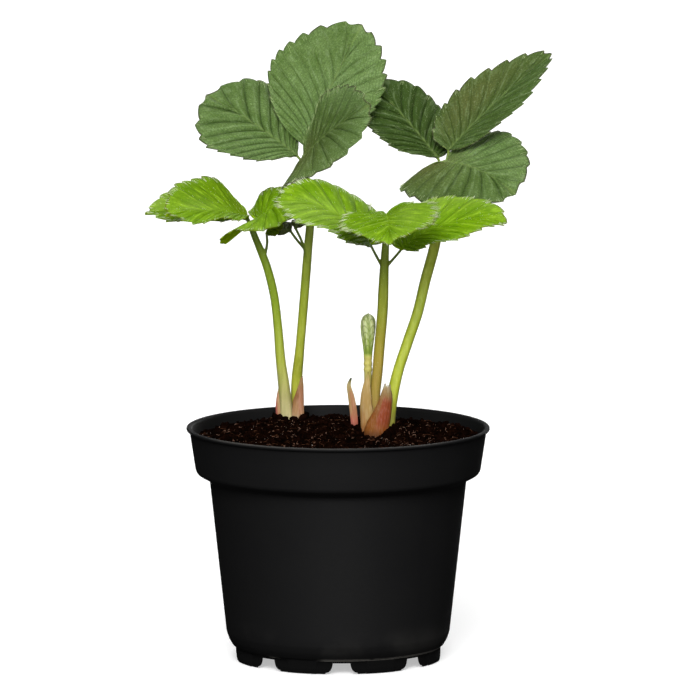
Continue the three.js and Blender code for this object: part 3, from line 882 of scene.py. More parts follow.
# %% Heaps round the feet
FEET = {                           # place and radius
    "leaf_a": (-16.5, 46.5, 3.2), "leaf_b": (-20.5, 41.6, 3.6), "rear_scale": (-15.6, 39.6, 2.8),
    "rear_red_scale": (-23.2, 41.5, 1.8), "front_scale": (14.7, -8.4, 4.8),
    "tan_scale": (11.4, -2.6, 3.4), "small_scale": (6.6, 9.2, 1.7), "leaf_d": (20.0, 8.0, 2.7),
}


def heap_places(draw, x, y, radius, count=34):
    """Places in a ring close round a foot."""
    turn, gap = draw.random(count) * 2 * math.pi, radius * draw.uniform(0.85, 1.25, count)
    return np.stack([x + gap * np.cos(turn), y + gap * np.sin(turn)], 1)


heap_draw = np.random.default_rng(67)
heaps = []
for foot in FEET.values():
    heaps.append(lumps(heap_draw, heap_places(heap_draw, *foot), (0.4, 1.9), sink=-0.2))
add_piece("peat_heaps", *joined(heaps), crumb_peat, "peat")
print("crumbs round", len(FEET), "feet:", sum(len(points) for points, _ in heaps) // len(LUMP))

# %% [markdown]
# ## Crowns
# A crown is the short woody stem at soil level that all leaves grow from. Only its top shows,
# brown, lumpy and half buried in crumbs. It is a low mound on the same polar grid idea as the bed,
# pushed up by coarse noise.

# %% Crowns
CROWN_SIZES = {"left": (LEFT_CROWN, (6.5, 7.5), 88.8), "right": (RIGHT_CROWN, (9.5, 13.0), 90.0)}
CROWN_DEPTH = 6


def crown_mesh(centre, semi_axes, top, rings=22, around=72):
    """A lumpy mound, with a straight side and a floor below the bed's surface."""
    turn = full_turn(around)
    points = []
    for share in [*np.linspace(0, 1, rings), 1.0]:
        for t in turn:
            x = centre[0] + semi_axes[0] * share * math.cos(t)
            y = centre[1] + semi_axes[1] * share * math.sin(t)
            lump = noise.fractal(Vector((x, y, 5.5)) / 2.6, 1.0, 2.0, 3)
            dome_rise = 0.5 * (1 - share ** 2) + 0.55 * lump * (1 - share ** 4)
            points.append((x, y, top + dome_rise - 1.2 * share ** 6))
    side = np.array(points)
    side[-around:, 2] = top - CROWN_DEPTH
    middle = np.full((around, 3), (*centre, top - CROWN_DEPTH))
    return np.concatenate([side, middle]), grid_faces(rings + 2, around, closed=True)


crown_bark = peat("crown_bark", rgb(20, 9, 6), rgb(48, 26, 16), rgb(96, 66, 46), 0.8)
for side, sizes in CROWN_SIZES.items():
    add_piece(f"crown_{side}_bark", *crown_mesh(*sizes), crown_bark, "crown", [f"crown_{side}"])

# %% [markdown]
# ## Leaf stalks
# Each leaf stands on a petiole, and each leaflet on a short stalk of its own. Tubes that only poke
# into each other show a hard line where they meet. Here they are joined by a voxel remesh and
# relaxed, so the wood grows from one into the other as it does on the plant.

# %% Stalk routes
STALK_ROUTES = {
    "leaf_a": {
        "petiole": [(-16.5, 47, 88.4), (-16.5, 46.5, 104), (-15.5, 43, 115), (-14, 40, 132.5),
                    (-12, 36, 158), (-11, 33, 172), (-12, 31, 184), (-13.8, 29.5, 194.2)],
        "radii": [2.5, 2.2, 1.8, 1.8, 1.8, 1.7, 1.5, 1.1],
        "stalks": [
            [(-13.8, 29.5, 193.6), (-16.3, 30, 196.3)],
            [(-13.8, 29.5, 193.6), (-13.1, 31.8, 199.8)],
            [(-13.8, 29.5, 193.6), (-13.4, 26.9, 196.6)],
            [(-12.5, 36.6, 157.5), (-16.5, 36.4, 162), (-18.9, 36, 165.4)],
            [(-12.1, 35.6, 153.5), (-14.2, 34, 161), (-16.9, 34.6, 166.8)],
        ],
    },
    "leaf_b": {
        "petiole": [(-20.5, 42, 88.4), (-21.5, 42, 101), (-23, 41.5, 113.5), (-24, 41, 126),
                    (-25.5, 39, 139), (-28.5, 37, 151.5), (-33, 35.8, 163), (-34.5, 35.5, 167)],
        "radii": [2.9, 2.4, 2.0, 1.8, 1.7, 1.7, 1.6, 1.2],
        "stalks": [
            [(-34.4, 35.5, 166.4), (-35.9, 34.1, 171.2)],
            [(-34.4, 35.5, 166.4), (-36.4, 39.8, 169.8)],
            [(-34.4, 35.5, 166.4), (-32.6, 33.4, 170.3)],
            [(-29.6, 36.6, 154.3), (-28.3, 35.5, 160), (-28.4, 35.1, 164.8)],
        ],
    },
    "leaf_c": {
        "petiole": [(14.5, 2, 89.6), (14.5, 2, 104), (15.5, 1, 113.5), (16.5, 0, 126),
                    (17.5, -2, 138), (18, -4, 151), (18.5, -6, 162), (19, -8, 171),
                    (19, -10.5, 177)],
        "radii": [2.5, 2.2, 2.1, 2.1, 2.1, 2.1, 1.8, 1.4, 1.1],
        "stalks": [
            [(19, -10.5, 176.4), (19, -11.8, 178.4)],
            [(17.9, -4.8, 156), (15.5, -4.4, 160), (12.8, -4, 165.1)],
            [(18.3, -4.8, 156), (21.5, -4, 159.3), (24.9, -3.05, 163.2)],
        ],
    },
    "leaf_d": {
        "petiole": [(20, 8, 89.6), (21, 8, 100), (23.5, 10, 112), (27.5, 13, 124),
                    (31.5, 16, 135.5), (34.5, 20, 147.5), (38.5, 25, 162), (41, 29.5, 177),
                    (42, 33, 189.5)],
        "radii": [2.3, 2.3, 2.1, 2.1, 2.1, 2.1, 2.1, 1.8, 1.2],
        "stalks": [
            [(42, 33, 189), (39.6, 35.5, 194.8)],
            [(42, 33, 189), (43.95, 34.45, 198.1)],
            [(42, 33, 189), (42.95, 30.4, 193.7)],
        ],
    },
}
print("stalk routes:", {leaf: len(route["stalks"]) for leaf, route in STALK_ROUTES.items()})

# %% [markdown]
# A petiole is not quite round: a shallow groove runs up it, and five faint ribs lie round it. The
# leaflets' stalks start inside the petiole and widen toward it, like a branch toward its trunk.

# %% Stalk tubes
STALK_SIDES = 28
TWIG_SIDES = 14
TWIG_RADIUS = 0.56


def sampled_radii(radii, path):
    """The radius at each sample of a path, from one radius for each listed point."""
    return np.interp(arc_shares(path) * (len(radii) - 1), np.arange(len(radii)), radii)


def petiole_ribs(turn):
    """A round stalk with a shallow groove and faint ribs."""
    groove = np.exp(-((turn - math.pi / 2) / 0.45) ** 2)
    return 1.0 + 0.02 * np.cos(5 * turn) - 0.1 * groove


def stalk_parts(route):
    """Closed tubes for a petiole and its leaflets' stalks, and the petiole's path."""
    path = curve_through(route["petiole"])
    ribs = petiole_ribs(full_turn(STALK_SIDES))
    parts = [tube(path, sampled_radii(route["radii"], path), STALK_SIDES, ribs)]
    for points in route["stalks"]:
        twig = curve_through(points, 10)
        parts.append(tube(twig, TWIG_RADIUS * (1 + 0.5 * (1 - arc_shares(twig)) ** 4), TWIG_SIDES))
    return parts, path


print("tubes of leaf_a:", len(stalk_parts(STALK_ROUTES["leaf_a"])[0]))

# %% [markdown]
# After the remesh the points have no order, so each one asks which sample of the petiole is
# nearest. That gives its share of the height, which colours the stalk from its pale foot to its
# green top, and tells twigs from petiole by the distance.

# %% Fused stalks
STALK_VOXEL = 0.00033


def fuse(piece, voxel, relax=3):
    """Melts overlapping closed parts of a piece into one skin."""
    remesh = piece.modifiers.new("fuse", "REMESH")
    remesh.mode = "VOXEL"
    remesh.voxel_size = voxel
    smooth = piece.modifiers.new("relax", "SMOOTH")
    smooth.factor = 0.5
    smooth.iterations = relax
    apply_modifiers(piece)
    shade_smooth(piece.data)


def layout_points(mesh):
    """A mesh's points back in layout millimetres."""
    flat = np.empty(len(mesh.vertices) * 3, np.float32)
    mesh.vertices.foreach_get("co", flat)
    return flat.reshape(-1, 3) @ TURN / MILLIMETRE


def nearest_samples(points, path):
    """For each point, the number of the nearest sample of a path and the distance to it."""
    gaps = np.linalg.norm(points[:, None] - path[None], axis=2)
    nearest = gaps.argmin(1)
    return nearest, gaps[np.arange(len(points)), nearest]


def add_stalk(leaf, route, material):
    parts, path = stalk_parts(route)
    piece = add_piece(f"{leaf}_stem", *joined(parts), material, "stalk", [f"{leaf}_petiole"])
    fuse(piece, STALK_VOXEL)
    points = layout_points(piece.data)
    nearest, gap = nearest_samples(points, path)
    radii = sampled_radii(route["radii"], path)
    store_mask(piece.data, "height", arc_shares(path)[nearest])
    store_mask(piece.data, "twig", np.clip((gap - radii[nearest] * 1.12) / 0.5, 0, 1))


test_number, test_distance = nearest_samples(np.array([(1.0, 0, 5)]), test_curve)
print("a point beside the test curve is", test_distance.round(2), "mm from sample", test_number)

# %% [markdown]
# ### Stalk finish
# A petiole is juicy and yellow-green, with long faint streaks, a pale or reddish foot, and a
# slightly glossy skin. Every leaf has its own ramp from foot to top; the thin stalks of the
# leaflets are a darker green.

# %% Stalk finish
def stalk_skin(name, stops, twig_colour):
    material, place = start_material(name)
    streaks = place.flattened(0.06).cloud(900, 3.0, 0.6)
    blotches = place.cloud(120, 2.0)
    ramp = (painted(place, "height") + (blotches - 0.5) * 0.1).ramp(stops)
    colour = (streaks.step(0.45, 0.75) * 0.35).mix(ramp, ramp.paler(1.28))
    colour = ((1 - streaks.step(0.3, 0.62)) * 0.22).mix(colour, twig_colour)
    colour = painted(place, "twig").mix(colour, twig_colour)
    return finish_material(
        material, colour, 0.5 + blotches * 0.12, streaks, relief=0.00012, bump=0.5,
        Subsurface_Weight=0.12, Subsurface_Radius=(0.8, 1.0, 0.3), Subsurface_Scale=0.0012,
        Specular_IOR_Level=0.35,
    )


STALK_COLOURS = {
    "leaf_a": [(0.0, 196, 176, 116), (0.08, 178, 180, 60), (0.5, 160, 176, 48), (0.8, 140, 158, 60),
               (1.0, 120, 140, 56)],
    "leaf_b": [(0.0, 196, 184, 138), (0.12, 174, 166, 106), (0.3, 166, 174, 62),
               (0.6, 140, 164, 34), (1.0, 110, 136, 20)],
    "leaf_c": [(0.0, 166, 108, 54), (0.14, 158, 132, 60), (0.35, 158, 138, 46),
               (0.55, 148, 154, 44), (1.0, 116, 148, 30)],
    # Painted light: leaf d's stalk is paler at 0.72 and 0.86 of its height, where the leaves above
    # shade it.
    "leaf_d": [(0.0, 186, 176, 92), (0.1, 168, 176, 40), (0.5, 162, 178, 50), (0.72, 190, 202, 72),
               (0.86, 206, 214, 92), (1.0, 112, 132, 52)],
}
TWIG_GREEN = rgb(98, 118, 34)
for leaf, route in STALK_ROUTES.items():
    add_stalk(leaf, route, stalk_skin(f"{leaf}_stalk_skin", STALK_COLOURS[leaf], TWIG_GREEN))

# %% [markdown]
# ## Leaf blades
# A strawberry leaflet is a thin sheet, folded along the midrib and pleated at each side vein, with
# a tooth where each vein meets the edge. The solids hold that form in a few dozen facets. The same
# formula, sampled many times finer, gives the dressed blade: side veins run from the midrib to the
# teeth, so one coordinate counts veins and the other runs along them.

# %% Blade defaults
BLADE = {
    "half": (15, 15),              # half widths, left and right of the midrib
    "fold": ((0, 0), (0, 0)),      # degrees each half is raised, base to tip
    "curl": (0, 0),                # degrees each half rolls up from midrib to edge
    "lobe": (0.1, 0.1),            # how far each half reaches back past the base
    "arch": 20,                    # degrees the midrib turns along its length
    "full": 1.4,                   # over 1 moves the widest place toward the tip
    "round": 0.62,                 # under 1 makes the outline fuller
    "start": 0.015,                # where the margin leaves the midrib
    "teeth": 9,                    # on each side
    "wave": 1.0,                   # millimetres the edge swings up and down
    "pleat": 0.5,                  # millimetres a panel between two veins stands out
    "crease_and_vein_strength": 1.0,                    # strength of the painted shade in the creases and of the side vein lines
    "rows": 22,                    # steps from midrib to edge
}
TOOTH_DEPTH = 0.036                # as a share of the blade's length
TOOTH_LEAN = 0.72                  # place of a tooth's point in its stretch of margin
SMOOTH_BASE = 0.16                 # share of the margin without teeth
FIRST_VEIN = 0.62 * SMOOTH_BASE    # where the lowest side vein meets the margin
MIDRIB_SHARE = 0.7                 # share of the midrib from which side veins start
FAN = 2.8                          # over 1 gathers their starts near the base
LOBE_PEAK = 6.75                   # scales s * (1 - s) ** 2 to reach 1
PANEL_PLACES = (0.0, 0.035, 0.08, 0.14, 0.21, 0.28, 0.38, 0.5, 0.62, 0.74, 0.84, 0.92, 0.965)
NOTCH_PLACE = 1 - TOOTH_LEAN


def tooth_outline(v, growth, next_growth):
    """How far the edge stands out between one tooth's point, v = 0, and the next, v = 1."""
    if v < NOTCH_PLACE:
        return growth * (0.65 - (v / NOTCH_PLACE) ** 1.25)
    return next_growth * (-0.35 + ((v - NOTCH_PLACE) / TOOTH_LEAN) ** 0.72)


def margin_columns(blade, draw):
    """Columns from base to tip: s along the margin, tooth, place between veins, vein number."""
    columns = []
    start, teeth = blade["start"], blade["teeth"]
    width = (1 - SMOOTH_BASE) / teeth
    tips = [SMOOTH_BASE + (i + TOOTH_LEAN) * width for i in range(teeth)]
    growths = [min(1, i * width / 0.15 + 0.35) * draw.uniform(0.85, 1.2) for i in range(teeth)]
    for v in np.linspace(0, 1, 10, endpoint=False):
        columns.append((start + (FIRST_VEIN - start) * v, 0.0, v, 0))
    for v in np.linspace(0, 1, 14, endpoint=False):
        s = FIRST_VEIN + (tips[0] - FIRST_VEIN) * v
        late = max(0.0, (s - SMOOTH_BASE) / (tips[0] - SMOOTH_BASE))
        tooth = late ** 0.72 - 0.35 if late > 0 else -0.35 * (v / 0.5) ** 2
        columns.append((s, growths[0] * tooth, v, 1))
    for i in range(teeth - 1):
        for v in PANEL_PLACES:
            s = tips[i] + width * v
            columns.append((s, tooth_outline(v, growths[i], growths[i + 1]), v, i + 2))
    for v in np.linspace(0, 1, 12, endpoint=False):
        dip = 0.65 - 0.75 * math.sin(math.pi * v) ** 0.8
        columns.append((tips[-1] + (1 - tips[-1]) * v, dip, v, teeth + 1))
    columns.append((1.0, 0.75, 1.0, teeth + 1))
    return np.array(columns)


test_columns = margin_columns(BLADE, np.random.default_rng(1))
print("columns in a nine-toothed blade:", len(test_columns))

# %% [markdown]
# The midrib is an arc, so its frame is known at any distance. Each half then folds up from it and
# rolls toward its edge. Pleats are a row of rounded panels that meet in a crease at every vein,
# which is what makes a strawberry leaf look quilted.

# %% Midrib
def blade_frame(blade):
    """The arc of a blade's midrib: where it starts, its directions, its angle and its length."""
    base = np.array(blade["base"], float)
    chord = np.array(blade["tip"], float) - base
    span = np.linalg.norm(chord)
    chord = chord / span
    face = np.array(blade["face"], float)
    face = unit(face - chord * face.dot(chord))
    arch = math.radians(blade["arch"])
    length = span * arch / (2 * math.sin(arch / 2))
    return {"base": base, "chord": chord, "face": face, "side": np.cross(face, chord), "arch": arch,
            "length": length}


def midrib_at(frame, distance):
    """Points of the midrib at distances from the base, and the blade's normals there."""
    arch, bend = frame["arch"], frame["arch"] / frame["length"]
    heading = arch / 2 - bend * distance
    along = (math.sin(arch / 2) - np.sin(heading)) / bend
    rise = (np.cos(heading) - math.cos(arch / 2)) / bend
    chord, face = frame["chord"], frame["face"]
    points = frame["base"] + chord * along[..., None] + face * rise[..., None]
    return points, face * np.cos(heading)[..., None] - chord * np.sin(heading)[..., None]


test_blade = {**BLADE, "base": (0, 0, 0), "tip": (40, 0, 0), "face": (0, 0, 1)}
print("midrib of a test blade, mm:", round(float(blade_frame(test_blade)["length"]), 2))

# %% [markdown]
# Side veins start from the midrib, close together near the base, and end at the teeth, so each runs
# along a column of the grid. A pleat is lower where two veins come close, or the panels would stand
# up like fins.

# %% Blade surface
def vein_columns(columns):
    """Numbers of the columns that lie on a side vein."""
    return [i for i in range(1, len(columns)) if columns[i, 2] == 0]


def vein_spacing(sheet, columns):
    """Distance between neighbouring side veins at each point of a sheet."""
    veins = vein_columns(columns)
    if len(veins) < 2:
        return np.ones(sheet.shape[:2])
    gaps = np.linalg.norm(np.diff(sheet[veins], axis=0), axis=2)
    middles = (np.array(veins[1:]) + np.array(veins[:-1])) / 2
    places = np.arange(len(columns))
    return np.stack([np.interp(places, middles, gaps[:, j]) for j in range(sheet.shape[1])], axis=1)


def half_blade(blade, frame, columns, rows, hand):
    """Middle surface of one half, as columns by rows."""
    k = 0 if hand > 0 else 1
    s, tooth, v = columns[:, 0:1], columns[:, 1:2], columns[:, 2:3]
    half, length, row = blade["half"][k], frame["length"], rows[None, :]
    reach = half * np.sin(math.pi * s ** blade["full"]).clip(0) ** blade["round"]
    back = blade["lobe"][k] * LOBE_PEAK * s * (1 - s) ** 2
    foot = length * MIDRIB_SHARE * s ** FAN
    vein_x, vein_y = length * (s - back) - foot, np.where(s < 1, reach, 0)
    stretch = 1 + length * TOOTH_DEPTH * tooth / np.hypot(vein_x, vein_y)
    x = foot + vein_x * stretch * row ** 0.9
    y = (vein_y * stretch).clip(0) * row ** 1.2
    points, normals = midrib_at(frame, x)
    fold = np.radians(np.interp((x / length).clip(0, 1), (0, 1), blade["fold"][k]))
    curl = math.radians(blade["curl"][k]) / half or 1e-6
    out = (np.sin(fold + curl * y) - np.sin(fold)) / curl
    up = (np.cos(fold) - np.cos(fold + curl * y)) / curl
    panel = 1.7 * np.sin(math.pi * v).clip(0) ** 0.65 - 0.85
    spacing = vein_spacing(np.stack([x, y], 2), columns)
    pleat = blade["pleat"] * panel * (spacing / 4).clip(0, 1) * (1 - 0.75 * row ** 3)
    ripple = np.sin(2 * math.pi * (2.3 * s + (0.3 if hand < 0 else 0)))
    wave = np.where(s < 1, blade["wave"] * row ** 2 * ripple, 0)
    offset = up + pleat + wave
    return points + frame["side"] * (hand * out)[..., None] + normals * offset[..., None], y


def blade_sheet(blade, columns):
    """Middle surface from the left edge to the right, and each point's distance to the midrib."""
    frame = blade_frame(blade)
    rows = np.linspace(0, 1, blade["rows"] + 1) ** 0.9
    left, left_gap = half_blade(blade, frame, columns, rows, 1)
    right, right_gap = half_blade(blade, frame, columns, rows, -1)
    sheet = np.concatenate([left[:, :0:-1], right], axis=1)
    return sheet, np.concatenate([left_gap[:, :0:-1], right_gap], axis=1)


test_sheet, test_gap = blade_sheet(test_blade, test_columns)
print("sheet of a test blade:", test_sheet.shape, "half width:", round(float(test_gap.max()), 1))

# %% [markdown]
# Masks are measured on the sheet itself: the distance to the nearest side vein, the distance to the
# midrib, and the distance to the edge, all in millimetres. They shape the blade's thickness, since
# veins stand out below and sink in above, and the shader reads them too.

# %% Vein masks
def running(sheet, axis):
    """Length covered along an axis of the grid, from its first point."""
    steps = np.linalg.norm(np.diff(sheet, axis=axis), axis=2)
    start = np.zeros_like(steps[:1] if axis == 0 else steps[:, :1])
    return np.concatenate([start, np.cumsum(steps, axis=axis)], axis=axis)


def blade_masks(sheet, rib_gap, columns):
    middle = sheet.shape[1] // 2
    along = running(sheet, 0)
    side_gap = np.min([np.abs(along - along[i]) for i in vein_columns(columns)], axis=0)
    spacing = vein_spacing(sheet, columns)
    across = running(sheet, 1)
    run = np.abs(across - across[:, middle:middle + 1])
    edge_gap = np.minimum(across, across[:, -1:] - across)
    row = np.abs(np.arange(sheet.shape[1]) - middle) / middle
    s = columns[:, 0:1]
    rib = np.exp(-(rib_gap / (0.6 * (1 - 0.6 * s))) ** 2)
    width = (0.09 * spacing).clip(0.08, 0.26)
    side = np.exp(-(side_gap / width) ** 2) * (1 - 0.45 * row)
    side = side * (spacing / 1.5).clip(0, 1) * (row > 0)
    # Painted shade: the crease mask darkens the skin beside each side vein, where the sunken
    # creases are shaded.
    crease = np.exp(-side_gap / (0.16 * spacing + 0.1)) * (1 - 0.5 * row)
    crease = crease * (spacing / 2.5).clip(0, 1)
    fan = columns[:, 3:4] + columns[:, 2:3] + 0 * run
    return {"rib": rib, "side": side, "vein": np.maximum(side, rib), "crease": crease,
            "side_gap": side_gap, "edge": edge_gap, "run": run, "fan": fan}


test_masks = blade_masks(test_sheet, test_gap, test_columns)
print("masks:", {name: round(float(values.max()), 2) for name, values in test_masks.items()})

# %% [markdown]
# A blade has two skins. Both are the sheet moved along its normals, the lower one further where a
# vein stands out, and both thin out to a fine edge. Normals are summed from the quads round each
# point; at the tip the two halves share a line, so their normals are averaged there and the weld
# closes it.

# %% Two skins
SKIN = 0.2                         # distance of each skin from the sheet
MARGIN_WIDTH = 0.7                 # how far in from its edge a blade thins out
VEIN_RELIEF = 0.16
RIB_RELIEF = 0.55


def sheet_normals(sheet):
    """The direction square to a sheet at each of its points."""
    rows, columns = sheet.shape[:2]
    quads = grid_faces(rows, columns)
    flat = sheet.reshape(-1, 3)
    a, b, c, d = [flat[quads[:, k]] for k in range(4)]
    facing = np.cross(b - d, c - a)
    normals = np.zeros_like(flat)
    for k in range(4):
        np.add.at(normals, quads[:, k], facing)
    normals = unit(normals).reshape(sheet.shape)
    normals[-1] = unit(normals[-1] + normals[-1, ::-1])
    return normals


def blade_skins(sheet, masks):
    """Points of the upper and the lower skin."""
    thin = 1 - 0.6 * np.exp(-masks["edge"] / MARGIN_WIDTH)
    fade = 1 - 0.7 * np.linspace(0, 1, len(sheet))[:, None] ** 0.7
    upper = SKIN * thin - VEIN_RELIEF * masks["vein"] * thin
    lower = SKIN * thin + VEIN_RELIEF * masks["vein"] * thin + RIB_RELIEF * masks["rib"] * fade
    normals = sheet_normals(sheet)
    return sheet + normals * upper[..., None], sheet - normals * lower[..., None]


def closed_skins(rows, columns):
    """Faces of two grids of points, back to back, joined round their rim."""
    grid = grid_faces(rows, columns)
    under = rows * columns
    rim = list(range(columns))
    rim += [i * columns + columns - 1 for i in range(1, rows)]
    rim += [(rows - 1) * columns + j for j in range(columns - 2, -1, -1)]
    rim += [i * columns for i in range(rows - 2, 0, -1)]
    walls = [(a, b, under + b, under + a) for a, b in zip(rim, [*rim[1:], rim[0]])]
    return [*grid.tolist(), *(grid[:, ::-1] + under).tolist(), *walls]


def skinned(upper, lower):
    """Two skins as the points and faces of one closed shape."""
    points = np.concatenate([upper.reshape(-1, 3), lower.reshape(-1, 3)])
    return points, closed_skins(*upper.shape[:2])


print("faces of a test blade:", len(closed_skins(*test_sheet.shape[:2])))

# %% [markdown]
# ## Leaf finishes
# The upper skin of an old leaf is matt grey-green and quilted, with a fine net between its side
# veins and painted shade darkening the creases over them. The young leaves are yellow-green with
# pale veins. Both are one finish with different colours. The masks painted on the mesh say where
# the leaf is bronzed, where it is paler with a painted sheen, and where it is deep green or in
# painted shade; the lower skin is paler and silky.

# %% Vein net and streaks
def leaf_net(place):
    """A ladder of small cross veins between the side veins, 1 on them and 0 elsewhere."""
    run, gap = painted(place, "run"), painted(place, "side_gap")
    wander = place.cloud(260, 2.0) * 1.6
    rungs = ((run / 1.3 + wander).math("FRACT") - 0.5).math("ABSOLUTE") * 2
    cells = place.node("TexVoronoi", {"feature": "DISTANCE_TO_EDGE"},
                       {"Vector": place, "Scale": 800.0})
    return (rungs.step(0.6, 1.0) * gap.step(0.1, 0.6)).math("MAXIMUM", 1 - cells.step(0.0, 0.14))


def leaf_streaks(place):
    """Noise stretched along the side veins."""
    run, fan = painted(place, "run"), painted(place, "fan")
    along = place.node("CombineXYZ", None, {"X": fan * 4.2, "Y": run * 0.16})
    return along.cloud(1.0, 3.0, 0.6)


# %% [markdown]
# Colour is laid on in the order of a painter: ground, soft spots, creases, net, grain, veins, edge.
# Each layer is a mask and the tone it brings, so a leaf can be made calmer or livelier in one
# number. Some layers are painted light: the darkened creases, the dark side veins of the old leaves
# and the dark streaks are painted shade, and the pale streaks along the pleats are painted
# highlights.

# %% Leaf finish
THIN_LEAF = {
    "Subsurface_Weight": 0.1, "Subsurface_Radius": (0.5, 1.0, 0.1), "Subsurface_Scale": 0.0008,
}


def leaf_finish(name, tones, look):
    """tones holds the leaf's colours by layer, look the strengths of its layers."""
    tones = {layer: rgb(*tone) for layer, tone in tones.items()}
    material, place = start_material(name)
    vein, side, edge, under = [painted(place, mask) for mask in ("vein", "side", "edge", "under")]
    net, streaks = leaf_net(place), leaf_streaks(place)
    drift = place.cloud(70, 3.0)
    mottle = place.cloud(420, 3.0, 0.65)
    speckle = place.cloud(1500, 2.0, 0.75)
    rim = (1 - edge.step(0.0, 6.0)) * (0.4 + mottle * 1.2) * look["rim"]
    ground = drift.step(0.35, 0.65) * 0.6 + mottle.step(0.3, 0.7) * 0.4
    colour = ground.mix(tones["plain_low"], tones["plain"])
    # Painted light: the crease layer is painted shade, the dark streaks along the pleats are
    # painted shade and the pale ones painted highlights, the pale specks are partly painted glints,
    # and the deep green and pale spots carry painted shade and painted sheen.
    layers = [
        ((painted(place, "pale") + rim).clipped(), "pale"),
        (painted(place, "deep").clipped(), "deep"),
        ((painted(place, "bronze") * (0.6 + drift * 0.8)).clipped(), "bronze"),
        (painted(place, "crease") * look["crease"], "crease"),
        (net * look["net"], "crease"),
        ((1 - streaks.step(0.34, 0.48)) * look["streak"] * 0.5, "crease"),
        (streaks.step(0.5, 0.68) * look["streak"], "silk_and_sheen"),
        ((1 - speckle.step(0.25, 0.5)) * look["grain"], "crease"),
        (speckle.step(0.56, 0.8) * look["grain"], "silk_and_sheen"),
        (side * look["vein"], "vein"),
        ((vein - side).clipped() * look["rib"], "rib"),
        ((1 - edge.step(0.05, 0.95)) * drift.step(0.4, 0.54) * 0.85, "edge"),
    ]
    for mask, tone in layers:
        colour = mask.mix(colour, tones[tone])
    colour = under.mix(colour, (vein * 0.5).mix(tones["under"], tones["rib"]))
    relief = (1 - net) * 0.5 + speckle * 0.3 + streaks * 0.2
    gloss = 0.62 + speckle * 0.15 + under * 0.1
    return finish_material(material, colour, gloss, relief, relief=0.00025, bump=0.8,
                           Specular_IOR_Level=look["shine"], **THIN_LEAF)


# On the old leaves the crease and vein tones are dark: painted shade in the sunken creases and over
# the sunken side veins.
DARK_TONES = {
    "plain": (108, 134, 74), "plain_low": (76, 102, 38), "pale": (122, 152, 92),
    "deep": (48, 70, 12), "bronze": (94, 90, 42), "crease": (38, 60, 14), "vein": (42, 64, 18),
    "rib": (112, 134, 72), "silk_and_sheen": (150, 172, 124), "edge": (52, 46, 32), "under": (122, 142, 76),
}
DARK_LOOK = {
    "crease": 0.72, "net": 0.42, "streak": 0.2, "grain": 0.42, "vein": 0.5, "rib": 0.65,
    "rim": 0.15, "shine": 0.18,
}
BRIGHT_TONES = {
    "plain": (118, 158, 2), "plain_low": (94, 134, 0), "pale": (146, 176, 74), "deep": (76, 104, 0),
    "bronze": (100, 108, 20), "crease": (68, 108, 0), "vein": (132, 172, 14), "rib": (134, 172, 24),
    "silk_and_sheen": (150, 186, 46), "edge": (88, 96, 24), "under": (146, 182, 8),
}
BRIGHT_LOOK = {
    "crease": 0.5, "net": 0.22, "streak": 0.58, "grain": 0.3, "vein": 0.3, "rib": 0.35, "rim": 0.2,
    "shine": 0.08,
}
dark_leaf = leaf_finish("dark_leaf_skin", DARK_TONES, DARK_LOOK)
bright_leaf = leaf_finish("bright_leaf_skin", BRIGHT_TONES, BRIGHT_LOOK)

# %% [markdown]
# ## The leaflets
# Each leaflet keeps the place, folds and curls of its solid. Its paint is a short list of soft
# spots, each with a place across the blade (-1 is the left edge, 1 the right), a place along it (0
# is the base, 1 the tip), a size and a strength. The spots paint deep green with painted shade, a
# paler tone with a painted sheen, or bronze. The ears are the small leaflets that stand part way up
# two of the stalks.

